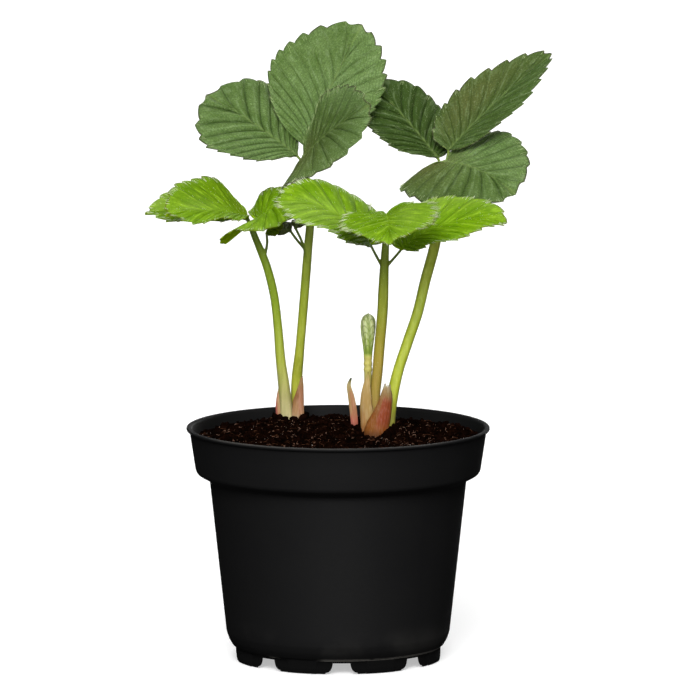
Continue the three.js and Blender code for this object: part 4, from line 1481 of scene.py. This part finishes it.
# %% Leaflets
LEAFLETS = {
    "leaf_a_left": {
        "base": (-16.5, 30, 196.5), "tip": (-51.5, 42, 219), "face": (0.15, -0.75, 0.65),
        "half": (22, 25), "fold": ((8, 4), (-8, -8)), "curl": (0, -15), "arch": 15, "full": 1.7,
        "pleat": 0.95, "crease_and_vein_strength": 1.3, "deep": [(0.55, 0.35, 0.45, 0.4)],
        "pale": [(-0.4, 0.5, 0.6, 0.3)],
    },
    "leaf_a_middle": {
        "base": (-13, 32, 200), "tip": (9, 54, 245), "face": (-0.1, -0.8, 0.55),
        "half": (27, 20), "curl": (-10, -10), "lobe": (0.05, 0.05), "full": 1.15, "teeth": 10,
        "pleat": 0.4, "crease_and_vein_strength": 0.5, "pale": [(0.3, 0.75, 0.7, 0.35)],
    },
    "leaf_a_right": {
        "base": (-13.2, 26.7, 196.9), "tip": (12, 4, 219.5), "face": (-0.75, -0.55, 0.3),
        "half": (17, 18), "fold": ((0, 0), (32, -10)), "lobe": (0.1, 0.55), "pleat": 0.45,
        "crease_and_vein_strength": 0.55, "deep": [(-0.3, 0.6, 0.9, 0.5)], "bronze": [(0.3, 0.1, 0.7, 0.8)],
        "pale": [(0.7, 0.85, 0.5, 0.3), (-0.9, 0.8, 0.4, 0.5)],
    },
    "leaf_d_left": {
        "base": (39.5, 35.6, 195), "tip": (13.5, 50, 223.5), "face": (0.1, -0.85, 0.5),
        "half": (14, 20), "fold": ((0, 0), (-30, -25)), "lobe": (0.05, 0.2), "arch": 15,
        "pleat": 0.9, "crease_and_vein_strength": 1.1, "deep": [(0, 0.5, 3, 1.0)],
    },
    "leaf_d_middle": {
        "base": (44, 34.5, 198.3), "tip": (84, 46, 234.5), "face": (-0.15, -0.86, 0.5),
        "half": (14, 12.5), "fold": ((10, 0), (30, 30)), "lobe": (0.22, 0.05), "arch": 25,
        "full": 1, "round": 0.7, "pleat": 0.45, "crease_and_vein_strength": 0.6, "deep": [(0, 0.5, 3, 0.68)],
        "bronze": [(-0.6, 0.6, 0.5, 0.5)],
    },
    "leaf_d_right": {
        "base": (43, 30.2, 194), "tip": (69.5, 11, 184), "face": (0, -0.6, 0.8),
        "half": (24, 22.5), "curl": (0, -15), "lobe": (0.32, 0.7), "arch": 40, "pleat": 0.9,
        "crease_and_vein_strength": 1.0, "deep": [(0.7, 0.5, 0.6, 0.5)], "pale": [(-0.6, 0.5, 0.6, 0.4)],
        "bronze": [(0.3, 0.15, 0.6, 0.8)],
    },
    "leaf_b_left": {
        "base": (-36, 34, 171.4), "tip": (-67.5, 16, 174.5), "face": (0.1, -0.3, 0.95),
        "half": (9, 17), "fold": ((15, -15), (30, 25)), "arch": 25, "full": 1.15, "round": 0.68,
        "pleat": 0.8, "deep": [(0.4, 0.4, 0.6, 0.6)],
        "pale": [(-0.5, 0.6, 0.5, 0.15), (0.2, 1, 0.4, 0.6)], "bronze": [(0.2, 0.05, 0.5, 0.7)],
    },
    "leaf_b_middle": {
        "base": (-36.5, 40, 170), "tip": (-76, 44, 171.5), "face": (0, -0.1, 1),
        "half": (11, 15), "fold": ((0, 0), (25, 20)), "curl": (-10, 0), "full": 1.6,
        "deep": [(-0.4, 0.8, 0.6, 0.8), (0.3, 0.6, 0.6, 0.3)], "pale": [(0.8, 0.9, 0.5, 0.5)],
    },
    "leaf_b_right": {
        "base": (-32.5, 33.2, 170.6), "tip": (-14, 23, 181), "face": (-0.3, -0.4, 0.9),
        "half": (14, 16.5), "fold": ((10, 0), (25, -36)), "lobe": (0.5, 0.75), "full": 1.1,
        "pleat": 0.7, "deep": [(0, 0.1, 0.7, 0.35)], "pale": [(0.9, 0.3, 0.45, 0.6)],
        "bronze": [(0, 0.02, 0.3, 0.6)],
    },
    "leaf_c_left": {
        "base": (12.5, -4, 165.5), "tip": (-24, -8, 183), "face": (0.2, -0.45, 0.9),
        "half": (14.5, 22), "fold": ((15, -5), (5, 5)), "curl": (-10, -10), "lobe": (0.05, 0.5),
        "arch": 65, "full": 0.95, "round": 0.48, "pleat": 0.9, "crease_and_vein_strength": 0.8,
        "deep": [(-0.6, 0.15, 0.5, 1), (0.5, 0.12, 0.5, 0.6)],
        "pale": [(-0.5, 0.8, 0.5, 0.6), (0.2, 0.9, 0.3, 0.4)],
    },
    "leaf_c_middle": {
        "base": (19, -12, 178.5), "tip": (20.5, -40, 170.5), "face": (0, -0.5, 0.85),
        "half": (20, 19), "fold": ((35, 20), (15, 10)), "curl": (-20, -20), "arch": 30,
        "deep": [(0, 0.2, 0.9, 0.5)], "pale": [(-0.5, 0.7, 0.4, 0.4)],
    },
    "leaf_c_right": {
        "base": (25, -3, 163.5), "tip": (65.5, -6, 174.5), "face": (-0.1, -0.4, 0.9),
        "half": (16.5, 9.5), "fold": ((15, 15), (-25, 5)), "curl": (-10, 0), "lobe": (0.3, 0.1),
        "arch": 60, "pleat": 0.7, "deep": [(-0.3, 0.3, 0.4, 0.45), (-0.6, 0.6, 0.5, 0.15)],
        "pale": [(-0.9, 0.6, 0.5, 0.4)],
    },
}
EAR = {
    "face": (0, -0.5, 0.8), "teeth": 5, "wave": 0.3, "rows": 10, "deep": [(0, 0.5, 3, 0.5)],
    "bronze": [(0, 0.5, 3, 0.6)],
}
EARS = {
    "leaf_a_ear_left": {
        **EAR, "base": (-19, 36, 165.5), "tip": (-25, 40, 166.5), "half": (5, 5),
    },
    "leaf_a_ear_right": {
        **EAR, "base": (-17, 34.8, 167), "tip": (-14, 42, 169.5), "half": (3.2, 3.2),
    },
    "leaf_b_ear": {
        **EAR, "base": (-28.5, 35, 165), "tip": (-22, 33, 168), "half": (4.5, 4.5),
    },
}
print("leaflets:", len(LEAFLETS), "and ears:", len(EARS))

# %% [markdown]
# A spot fades from its middle like a bell, so paint has no hard border. The youngest leaves wear
# the bright finish. The sheet of each leaflet is kept, because its hairs will grow from it.

# %% Painted leaflets
BRIGHT_LEAVES = ("leaf_b", "leaf_c")


def spots(list_of_spots, share_across, share_along):
    """A painted mask: the sum of soft round spots."""
    total = np.zeros(np.broadcast(share_across, share_along).shape)
    for across, along, size, strength in list_of_spots:
        gap = ((share_across - across) / size) ** 2 + ((share_along - along) / (0.7 * size)) ** 2
        total += strength * np.exp(-gap)
    return total


def leaflet(given, draw):
    """Sheet, masks and columns of one leaflet."""
    blade = {**BLADE, **given}
    columns = margin_columns(blade, draw)
    sheet, rib_gap = blade_sheet(blade, columns)
    masks = blade_masks(sheet, rib_gap, columns)
    masks["crease"] = masks["crease"] * blade["crease_and_vein_strength"]
    masks["side"] = masks["side"] * blade["crease_and_vein_strength"]
    share_across = np.linspace(-1, 1, sheet.shape[1])[None, :]
    # Spots of deep green and painted shade, paler spots with a painted sheen, and bronze.
    for paint in ("deep", "pale", "bronze"):
        masks[paint] = spots(blade.get(paint, []), share_across, columns[:, 0:1])
    return sheet, masks, columns


def add_leaflet(name, given, draw):
    """Adds one dressed leaflet; its sheet and columns are kept for the hairs."""
    sheet, masks, columns = leaflet(given, draw)
    carried = {mask: np.tile(masks[mask].ravel(), 2) for mask in masks if mask != "rib"}
    carried["under"] = np.repeat([0.0, 1.0], sheet.shape[0] * sheet.shape[1])
    bright = name.startswith(BRIGHT_LEAVES)
    material, slot = (bright_leaf, "bright_leaf") if bright else (dark_leaf, "dark_leaf")
    shape = skinned(*blade_skins(sheet, masks))
    add_piece(f"{name}_blade", *shape, material, slot, [name], carried)
    return sheet, columns


leaf_draw = np.random.default_rng(7)
sheets = {name: add_leaflet(name, given, leaf_draw) for name, given in {**LEAFLETS, **EARS}.items()}

# %% [markdown]
# ## Bud
# Between the stalks a young leaf is still folded like a fan, pale with silky hair. It is one stalk
# that swells into a club with five creases, twisted a little. The creases are cut into the radius,
# so their shadows are real; masks repeat them, to darken each crease further with painted shade,
# and mark the slanting veins between them for the paint.

# %% Folded young leaf
BUD_ROUTE = [
    (11.8, 7, 89.6), (11.8, 7, 105), (11.8, 7, 119), (11.9, 7, 127), (11.9, 7, 132),
    (11.9, 7, 136.5),
]
BUD_OUTLINE = [                    # height and radius
    (89.6, 1.6), (105, 1.5), (113, 1.5), (114, 1.75), (115.2, 1.5), (116.4, 1.75), (117.6, 1.5),
    (119, 1.7), (121, 1.8), (124, 2.2), (128, 2.85), (131, 3.1), (133.2, 3.0), (134.8, 2.4),
    (135.8, 1.5), (136.3, 0.3),
]
CLUB_FOOT, CLUB_LENGTH = 119, 17
BUD_CREASES = 5
BUD_SIDES = 60


def bud_mesh():
    path = curve_through(BUD_ROUTE, 24)
    radii = np.interp(path[:, 2], *zip(*BUD_OUTLINE))
    rise = ((path[:, 2:] - CLUB_FOOT) / CLUB_LENGTH).clip(0, 1)
    twisted = BUD_CREASES / 2 * (full_turn(BUD_SIDES) + 0.9 * rise)
    crease = (1 - np.abs(np.sin(twisted)) ** 0.55) * (rise * 6).clip(0, 1)
    chevron = (rise * 6.5 - np.abs(np.sin(twisted)) * 0.9) % 1
    lines = np.exp(-(np.minimum(chevron, 1 - chevron) / 0.09) ** 2) * (rise * 5).clip(0, 1)
    masks = {"height": np.repeat(rise, BUD_SIDES), "crease": crease, "lines": lines}
    return *tube(path, radii, BUD_SIDES, 1 - 0.3 * crease), masks


def bud_skin():
    material, place = start_material("silky_bud")
    height, crease, lines = [painted(place, mask) for mask in ("height", "crease", "lines")]
    silk_and_sheen = place.flattened(0.2).cloud(1500, 3.0)
    ramp = height.ramp([
        (0.0, 188, 180, 96), (0.03, 182, 184, 92), (0.1, 126, 148, 50),
        (0.4, 154, 174, 76), (0.8, 188, 198, 130), (1.0, 124, 134, 84),
    ])
    colour = (silk_and_sheen.step(0.4, 0.6) * 0.7 * height.step(0.15, 0.4)).mix(ramp, rgb(208, 214, 168))
    colour = (lines * 0.8).mix(colour, rgb(96, 124, 22))
    # Painted shade: each crease is painted darker green.
    colour = (crease * 0.75).mix(colour, rgb(100, 126, 32))
    return finish_material(
        material, colour, 0.6, silk_and_sheen, relief=0.0002, bump=0.6,
        Subsurface_Weight=0.15, Subsurface_Radius=(0.8, 1.0, 0.4), Subsurface_Scale=0.001,
    )


bud_points, bud_faces, bud_masks = bud_mesh()
add_piece("folded_leaf", bud_points, bud_faces, bud_skin(), "bud", ["bud"], bud_masks)

# %% [markdown]
# ## Sheaths round the crowns
# Papery stipules sheathe the foot of each stalk: one broad and orange brown, others tan or pink.
# Each is a strip that follows a short route up from the peat and wraps backwards round its stalk.
# Its two margins are drawn separately, since a sheath is open on one side and its edge runs down at
# a slant.

# %% Sheath shapes
SHEATHS = {
    "scale_front": {
        "route": [(14.7, -9.6, 87.6), (15.2, -9.2, 92), (16.7, -7.2, 99), (18.3, -4.2, 105),
                  (19.2, -3, 109.5)],
        "left": (4.6, 4.9, 4.2, 2.8, 1.9, 1.5, 0.8), "right": (4.2, 4.5, 4.6, 4.5, 4.0, 3.2, 1.6),
        "face": (0, -1, 0.1), "curl": 62, "ragged": 1.6,
    },
    "scale_tan": {
        "route": [(11.2, -3.4, 87.6), (11.3, -3.5, 95), (11.1, -3.2, 102), (11.3, -2.6, 108),
                  (11.9, -1.8, 114.4)],
        "left": (2.0, 2.6, 2.8, 2.8, 2.4, 1.4, 0.2), "right": (3.6, 3.4, 2.9, 2.1, 1.7, 1.1, 0.2),
        "face": (-0.2, -1, 0), "curl": 55, "ragged": 0.3,
    },
    "scale_small": {
        "route": [(6.6, 9, 87.6), (6.2, 9.5, 93), (5.7, 10.3, 98), (4.9, 11, 103), (4.2, 11.6, 107),
                  (5.2, 12, 110)],
        "left": (1.3, 1.4, 1.5, 1.5, 1.3, 0.9, 0.2), "right": (1.3, 1.5, 1.5, 1.5, 1.3, 0.9, 0.2),
        "face": (-0.4, -1, 0), "curl": 50, "ragged": 0.0,
    },
    "scale_rear_red": {
        "route": [(-23.4, 41.5, 86.5), (-23.9, 41.5, 91), (-24.0, 41.6, 96), (-23.6, 42, 101.5)],
        "left": (1.0, 1.3, 1.4, 1.4, 1.2, 0.8, 0.2), "right": (2.0, 2.0, 2.0, 2.0, 1.8, 1.2, 0.2),
        "face": (-0.6, -0.8, 0), "curl": 45, "ragged": 0.2,
    },
    "scale_rear_tan": {
        "route": [(-15.6, 39.4, 86.5), (-15.6, 39.2, 92), (-15.4, 40, 98), (-14.9, 41, 104),
                  (-14.4, 41.4, 106.4)],
        "left": (2.6, 2.8, 2.7, 2.5, 1.5, 0.6, 0.2), "right": (2.1, 2.2, 2.0, 1.9, 1.6, 1.2, 0.2),
        "face": (0.1, -1, 0), "curl": 58, "ragged": 0.4,
    },
}
print("sheaths:", ", ".join(SHEATHS))

# %% [markdown]
# The strip has two skins like a blade, with fine ribs from foot to tip on the upper one. Its tip is
# torn a little, by moving the end of each column of the grid up or down.

# %% Sheath strips
UPPER_SKIN, LOWER_SKIN = 0.22, 0.2
RIB_PAIRS, RIB_HEIGHT = 9, 0.08
TEAR_START = 0.75


def sheath_sheet(given, draw, steps=50, rows=16):
    """Middle surface from foot to tip and left margin to right, and both shares there."""
    path = curve_through(given["route"], 20)
    shares, t = arc_shares(path), np.linspace(0, 1, steps)
    centre = np.stack([np.interp(t, shares, path[:, axis]) for axis in range(3)], axis=1)
    rise = unit(np.gradient(centre, axis=0))
    face = np.array(given["face"], float)
    face = unit(face - rise * (rise @ face)[:, None])
    side = np.cross(face, rise)
    across = np.linspace(-1, 1, 2 * rows + 1)
    places = np.linspace(0, 1, len(given["left"]))
    left, right = np.interp(t, places, given["left"]), np.interp(t, places, given["right"])
    width = np.where(across < 0, left[:, None], right[:, None])
    wrap = math.radians(given["curl"])
    bend = width / math.sin(wrap)
    out = -np.sin(wrap * across) * bend
    depth = (1 - np.cos(wrap * across)) * bend
    near_tip = ((t[:, None] - TEAR_START) / (1 - TEAR_START)).clip(0, 1)
    torn = given["ragged"] * draw.uniform(-1, 0.3, len(across)) * near_tip
    sheet = centre[:, None] + side[:, None] * out[..., None] - face[:, None] * depth[..., None]
    return sheet + rise[:, None] * torn[..., None], t[:, None] + 0 * out, across[None, :] + 0 * out


def add_sheath(name, given, material, slot, draw):
    sheet, height, across = sheath_sheet(given, draw)
    normals = sheet_normals(sheet)
    thin = 1 - 0.7 * np.abs(across) ** 8
    ribs = RIB_HEIGHT * np.cos(across * RIB_PAIRS * math.pi)
    upper = sheet + normals * ((UPPER_SKIN + ribs) * thin)[..., None]
    lower = sheet - normals * (LOWER_SKIN * thin)[..., None]
    masks = {"height": np.tile(height.ravel(), 2), "across": np.tile(across.ravel(), 2)}
    add_piece(f"{name}_sheath", *skinned(upper, lower), material, slot, [name], masks)


# %% [markdown]
# Each sheath has its own ramp from foot to tip, since the colours change along it: brown at the
# foot, orange brown or tan above it, and most have a dry pale tip. A band right of the middle is
# flushed, with red on the broad sheath. Streaks follow the ribs, and the margins are brown.

# %% Sheath finish
FLUSH_ACROSS = (-0.3, 0.05, 0.7, 0.85)
FLUSH_HEIGHT = (0.1, 0.4, 0.7, 0.85)
MARGIN_TONE = rgb(84, 40, 22)
FOOT_TONE = rgb(50, 28, 16)


def sheath_skin(name, stops, flush):
    """stops colour a sheath from foot to tip, flush the band right of its middle."""
    material, place = start_material(name)
    height, across = painted(place, "height"), painted(place, "across")
    band = across.band(*FLUSH_ACROSS) * height.band(*FLUSH_HEIGHT)
    blotch = place.cloud(340, 3.0)
    fine = place.flattened(0.12).cloud(1600, 2.0)
    ramp = (height + (blotch - 0.5) * 0.22).ramp(stops)
    colour = (band * 0.7).mix(ramp, flush)
    colour = (fine.step(0.42, 0.68) * 0.65).mix(colour, colour.paler(1.25))
    rim = across.math("ABSOLUTE").step(0.82, 1.0)
    colour = (rim * 0.8).mix(colour, MARGIN_TONE)
    colour = ((1 - height.step(0.0, 0.26)) * blotch.step(0.3, 0.6) * 0.7).mix(colour, FOOT_TONE)
    return finish_material(
        material, colour, 0.6 + blotch * 0.15, fine, relief=0.00015, bump=0.6,
        Subsurface_Weight=0.1, Subsurface_Radius=(1.0, 0.5, 0.3), Subsurface_Scale=0.0008,
        Specular_IOR_Level=0.3,
    )


SHEATH_STOPS = {
    "scale_front": [(0.0, 78, 38, 0), (0.22, 124, 70, 2), (0.42, 120, 66, 4), (0.7, 118, 78, 32),
                    (0.88, 134, 108, 66), (1.0, 166, 156, 124)],
    "scale_tan": [(0.0, 132, 72, 22), (0.2, 152, 104, 50), (0.45, 162, 130, 76),
                  (0.85, 168, 142, 84), (1.0, 150, 138, 66)],
    "scale_small": [(0.0, 110, 44, 34), (0.25, 176, 96, 78), (0.5, 170, 134, 86),
                    (0.85, 158, 142, 90), (1.0, 60, 72, 44)],
    "scale_rear_red": [(0.0, 140, 66, 56), (0.5, 176, 96, 84), (1.0, 168, 140, 90)],
    "scale_rear_tan": [(0.0, 176, 158, 124), (0.3, 160, 122, 80), (0.6, 128, 84, 46),
                       (1.0, 150, 118, 74)],
}
SHEATH_FLUSH = {
    "scale_front": rgb(128, 44, 18), "scale_tan": rgb(158, 130, 72),
    "scale_small": rgb(160, 106, 76), "scale_rear_red": rgb(176, 146, 96),
    "scale_rear_tan": rgb(164, 112, 82),
}
TAN_SCALES = ("scale_tan", "scale_rear_tan")
sheath_draw = np.random.default_rng(19)
for name, given in SHEATHS.items():
    slot = "scale_tan" if name in TAN_SCALES else "scale_red"
    skin = sheath_skin(f"{name}_skin", SHEATH_STOPS[name], SHEATH_FLUSH[name])
    add_sheath(name, given, skin, slot, sheath_draw)

# %% [markdown]
# ## Hairs
# Strawberries are downy. Long pale hairs stand out from the teeth, shorter ones cover the stalks
# and the upper skins. Hair curves would be lost when the model leaves Blender, so each hair is a
# three-sided tapering thread of real mesh, and all the hairs of a leaf share one piece.

# %% Threads
HAIR_STEPS = 3
HAIR_SIDES = 3
HAIR_RADIUS = 0.085
DOWN_RADIUS = 0.03
HAIR_DROOP = 0.03


def threads(roots, directions, lengths, radius, droop=0.0):
    """Tapering threads from their roots; droop is how far a tip sinks, as a share of its length."""
    share = np.linspace(0, 1, HAIR_STEPS + 1)
    first = unit(np.cross(directions, (0.31, 0.17, 0.93)))
    second = np.cross(directions, first)
    reach = lengths[:, None, None]
    fall = np.array([0, 0, -1]) * droop
    centres = roots[:, None] + directions[:, None] * reach * share[None, :, None]
    centres = centres + fall * reach * (share ** 2)[None, :, None]
    ring = ring_directions(HAIR_SIDES, first, second)
    width = radius * (1 - 0.85 * share)
    points = centres[:, :, None] + ring[:, None] * width[None, :, None, None]
    one = tube_faces(HAIR_STEPS + 1, HAIR_SIDES)
    per_hair = (HAIR_STEPS + 1) * HAIR_SIDES
    faces = [[h * per_hair + i for i in face] for h in range(len(roots)) for face in one]
    return points.reshape(-1, 3), faces


test_thread = threads(np.zeros((1, 3)), np.array([[0, 0, 1.0]]), np.ones(1), HAIR_RADIUS)
print("points in one thread:", len(test_thread[0]))

# %% [markdown]
# Hairs crowd on the teeth, lie over the upper skin toward the edge, and stand all round a stalk.
# Each helper picks random points of the surface that it covers and points the hairs the way they
# grow there.

# %% Where hairs grow
ROOT_LIFT = 0.15


def edge_hairs(sheet, columns, draw, count, longest):
    """Tufts that lie over the teeth and stand past them, on both edges of a blade."""
    normals = sheet_normals(sheet)
    parts = []
    chance = np.where(columns[:, 1] > 0.1, 1.0, 0.25)
    chance[:10] = 0.05
    for edge, inward in ((0, 1), (sheet.shape[1] - 1, -1)):
        picked = draw.choice(len(sheet), count, p=chance / chance.sum())
        inset = draw.integers(1, 4, count)
        roots = sheet[picked, edge + inward * inset]
        facing = normals[picked, edge + inward * inset]
        outward = unit(sheet[picked, edge] - roots)
        following = np.minimum(picked + 1, len(sheet) - 1)
        tipward = unit(sheet[following, edge] - sheet[picked, edge] + facing * 1e-6)
        directions = outward + facing * draw.uniform(0.0, 0.35, (count, 1))
        directions = unit(directions + tipward * draw.uniform(-0.1, 0.35, (count, 1)))
        reach = np.linalg.norm(sheet[picked, edge] - roots, axis=1)
        lengths = reach * 0.8 + longest * draw.uniform(0.2, 1.0, count) ** 1.3
        roots = roots + facing * ROOT_LIFT
        parts.append(threads(roots, directions, lengths, HAIR_RADIUS, HAIR_DROOP))
    return parts


def surface_hairs(sheet, draw, count):
    """Short threads that lie over the upper skin and point to the edge."""
    normals = sheet_normals(sheet)
    middle = sheet.shape[1] // 2
    i = draw.integers(6, len(sheet) - 1, count)
    j = draw.integers(1, sheet.shape[1] - 1, count)
    outward = unit(sheet[i, np.where(j < middle, j - 1, j + 1)] - sheet[i, j])
    raised = outward + normals[i, j] * draw.uniform(0.15, 0.8, (count, 1))
    directions = unit(raised + draw.normal(0, 0.2, (count, 3)))
    roots = sheet[i, j] + normals[i, j] * ROOT_LIFT
    return threads(roots, directions, draw.uniform(0.5, 1.3, count), DOWN_RADIUS)


def stalk_hairs(route, draw, count):
    """Short threads all round a petiole."""
    path = curve_through(route["petiole"])
    radii = sampled_radii(route["radii"], path)
    first, second = frames_along(path)
    picked = draw.integers(8, len(path) - 2, count)
    turn = draw.uniform(0, 2 * math.pi, count)[:, None]
    outward = np.cos(turn) * first[picked] + np.sin(turn) * second[picked]
    roots = path[picked] + outward * (radii[picked][:, None] - 0.1)
    roots = roots + (path[picked + 1] - path[picked]) * draw.random((count, 1))
    directions = unit(outward + draw.normal(0, 0.25, (count, 3)) + (0, 0, 0.25))
    return threads(roots, directions, draw.uniform(0.35, 1.0, count), DOWN_RADIUS)


test_draw = np.random.default_rng(1)
print("points in ten stalk hairs:", len(stalk_hairs(STALK_ROUTES["leaf_a"], test_draw, 10)[0]))

# %% [markdown]
# The hairs are nearly colourless, so they take the light: pale on the young leaves, greener on the
# old, and soft with scattered light. The young leaves carry the longest and the most.

# %% Downy leaves
def hair_finish(name, shaded, lit):
    material, place = start_material(name)
    tone = place.cloud(500, 2.0)
    colour = tone.step(0.3, 0.7).mix(shaded, lit)
    return finish_material(
        material, colour, 0.5 + tone * 0.1, None,
        Subsurface_Weight=0.2, Subsurface_Radius=(1.0, 1.0, 0.7), Subsurface_Scale=0.0005,
    )


STALK_HAIRS, SKIN_HAIRS = 380, 260
EDGE_HAIRS = {                     # hairs along each edge and the longest of them
    "leaf_a": (30, 0.8), "leaf_b": (80, 1.2), "leaf_c": (180, 2.1), "leaf_d": (40, 0.9),
}
MORE_HAIRS = {"leaf_a_right": (110, 1.4), "leaf_c_right": (80, 1.3), "leaf_d_right": (80, 1.2)}
young_down = hair_finish("white_down", rgb(190, 204, 140), rgb(230, 236, 208))
old_down = hair_finish("green_down", rgb(132, 154, 90), rgb(184, 200, 140))
hair_draw = np.random.default_rng(23)
for leaf, usual in EDGE_HAIRS.items():
    parts = [stalk_hairs(STALK_ROUTES[leaf], hair_draw, STALK_HAIRS)]
    for name in LEAFLETS:
        if name.startswith(leaf):
            parts += edge_hairs(*sheets[name], hair_draw, *MORE_HAIRS.get(name, usual))
            parts.append(surface_hairs(sheets[name][0], hair_draw, SKIN_HAIRS))
    finish, slot = (young_down, "bright_leaf") if leaf in BRIGHT_LEAVES else (old_down, "dark_leaf")
    add_piece(f"{leaf}_down", *joined(parts), finish, slot)
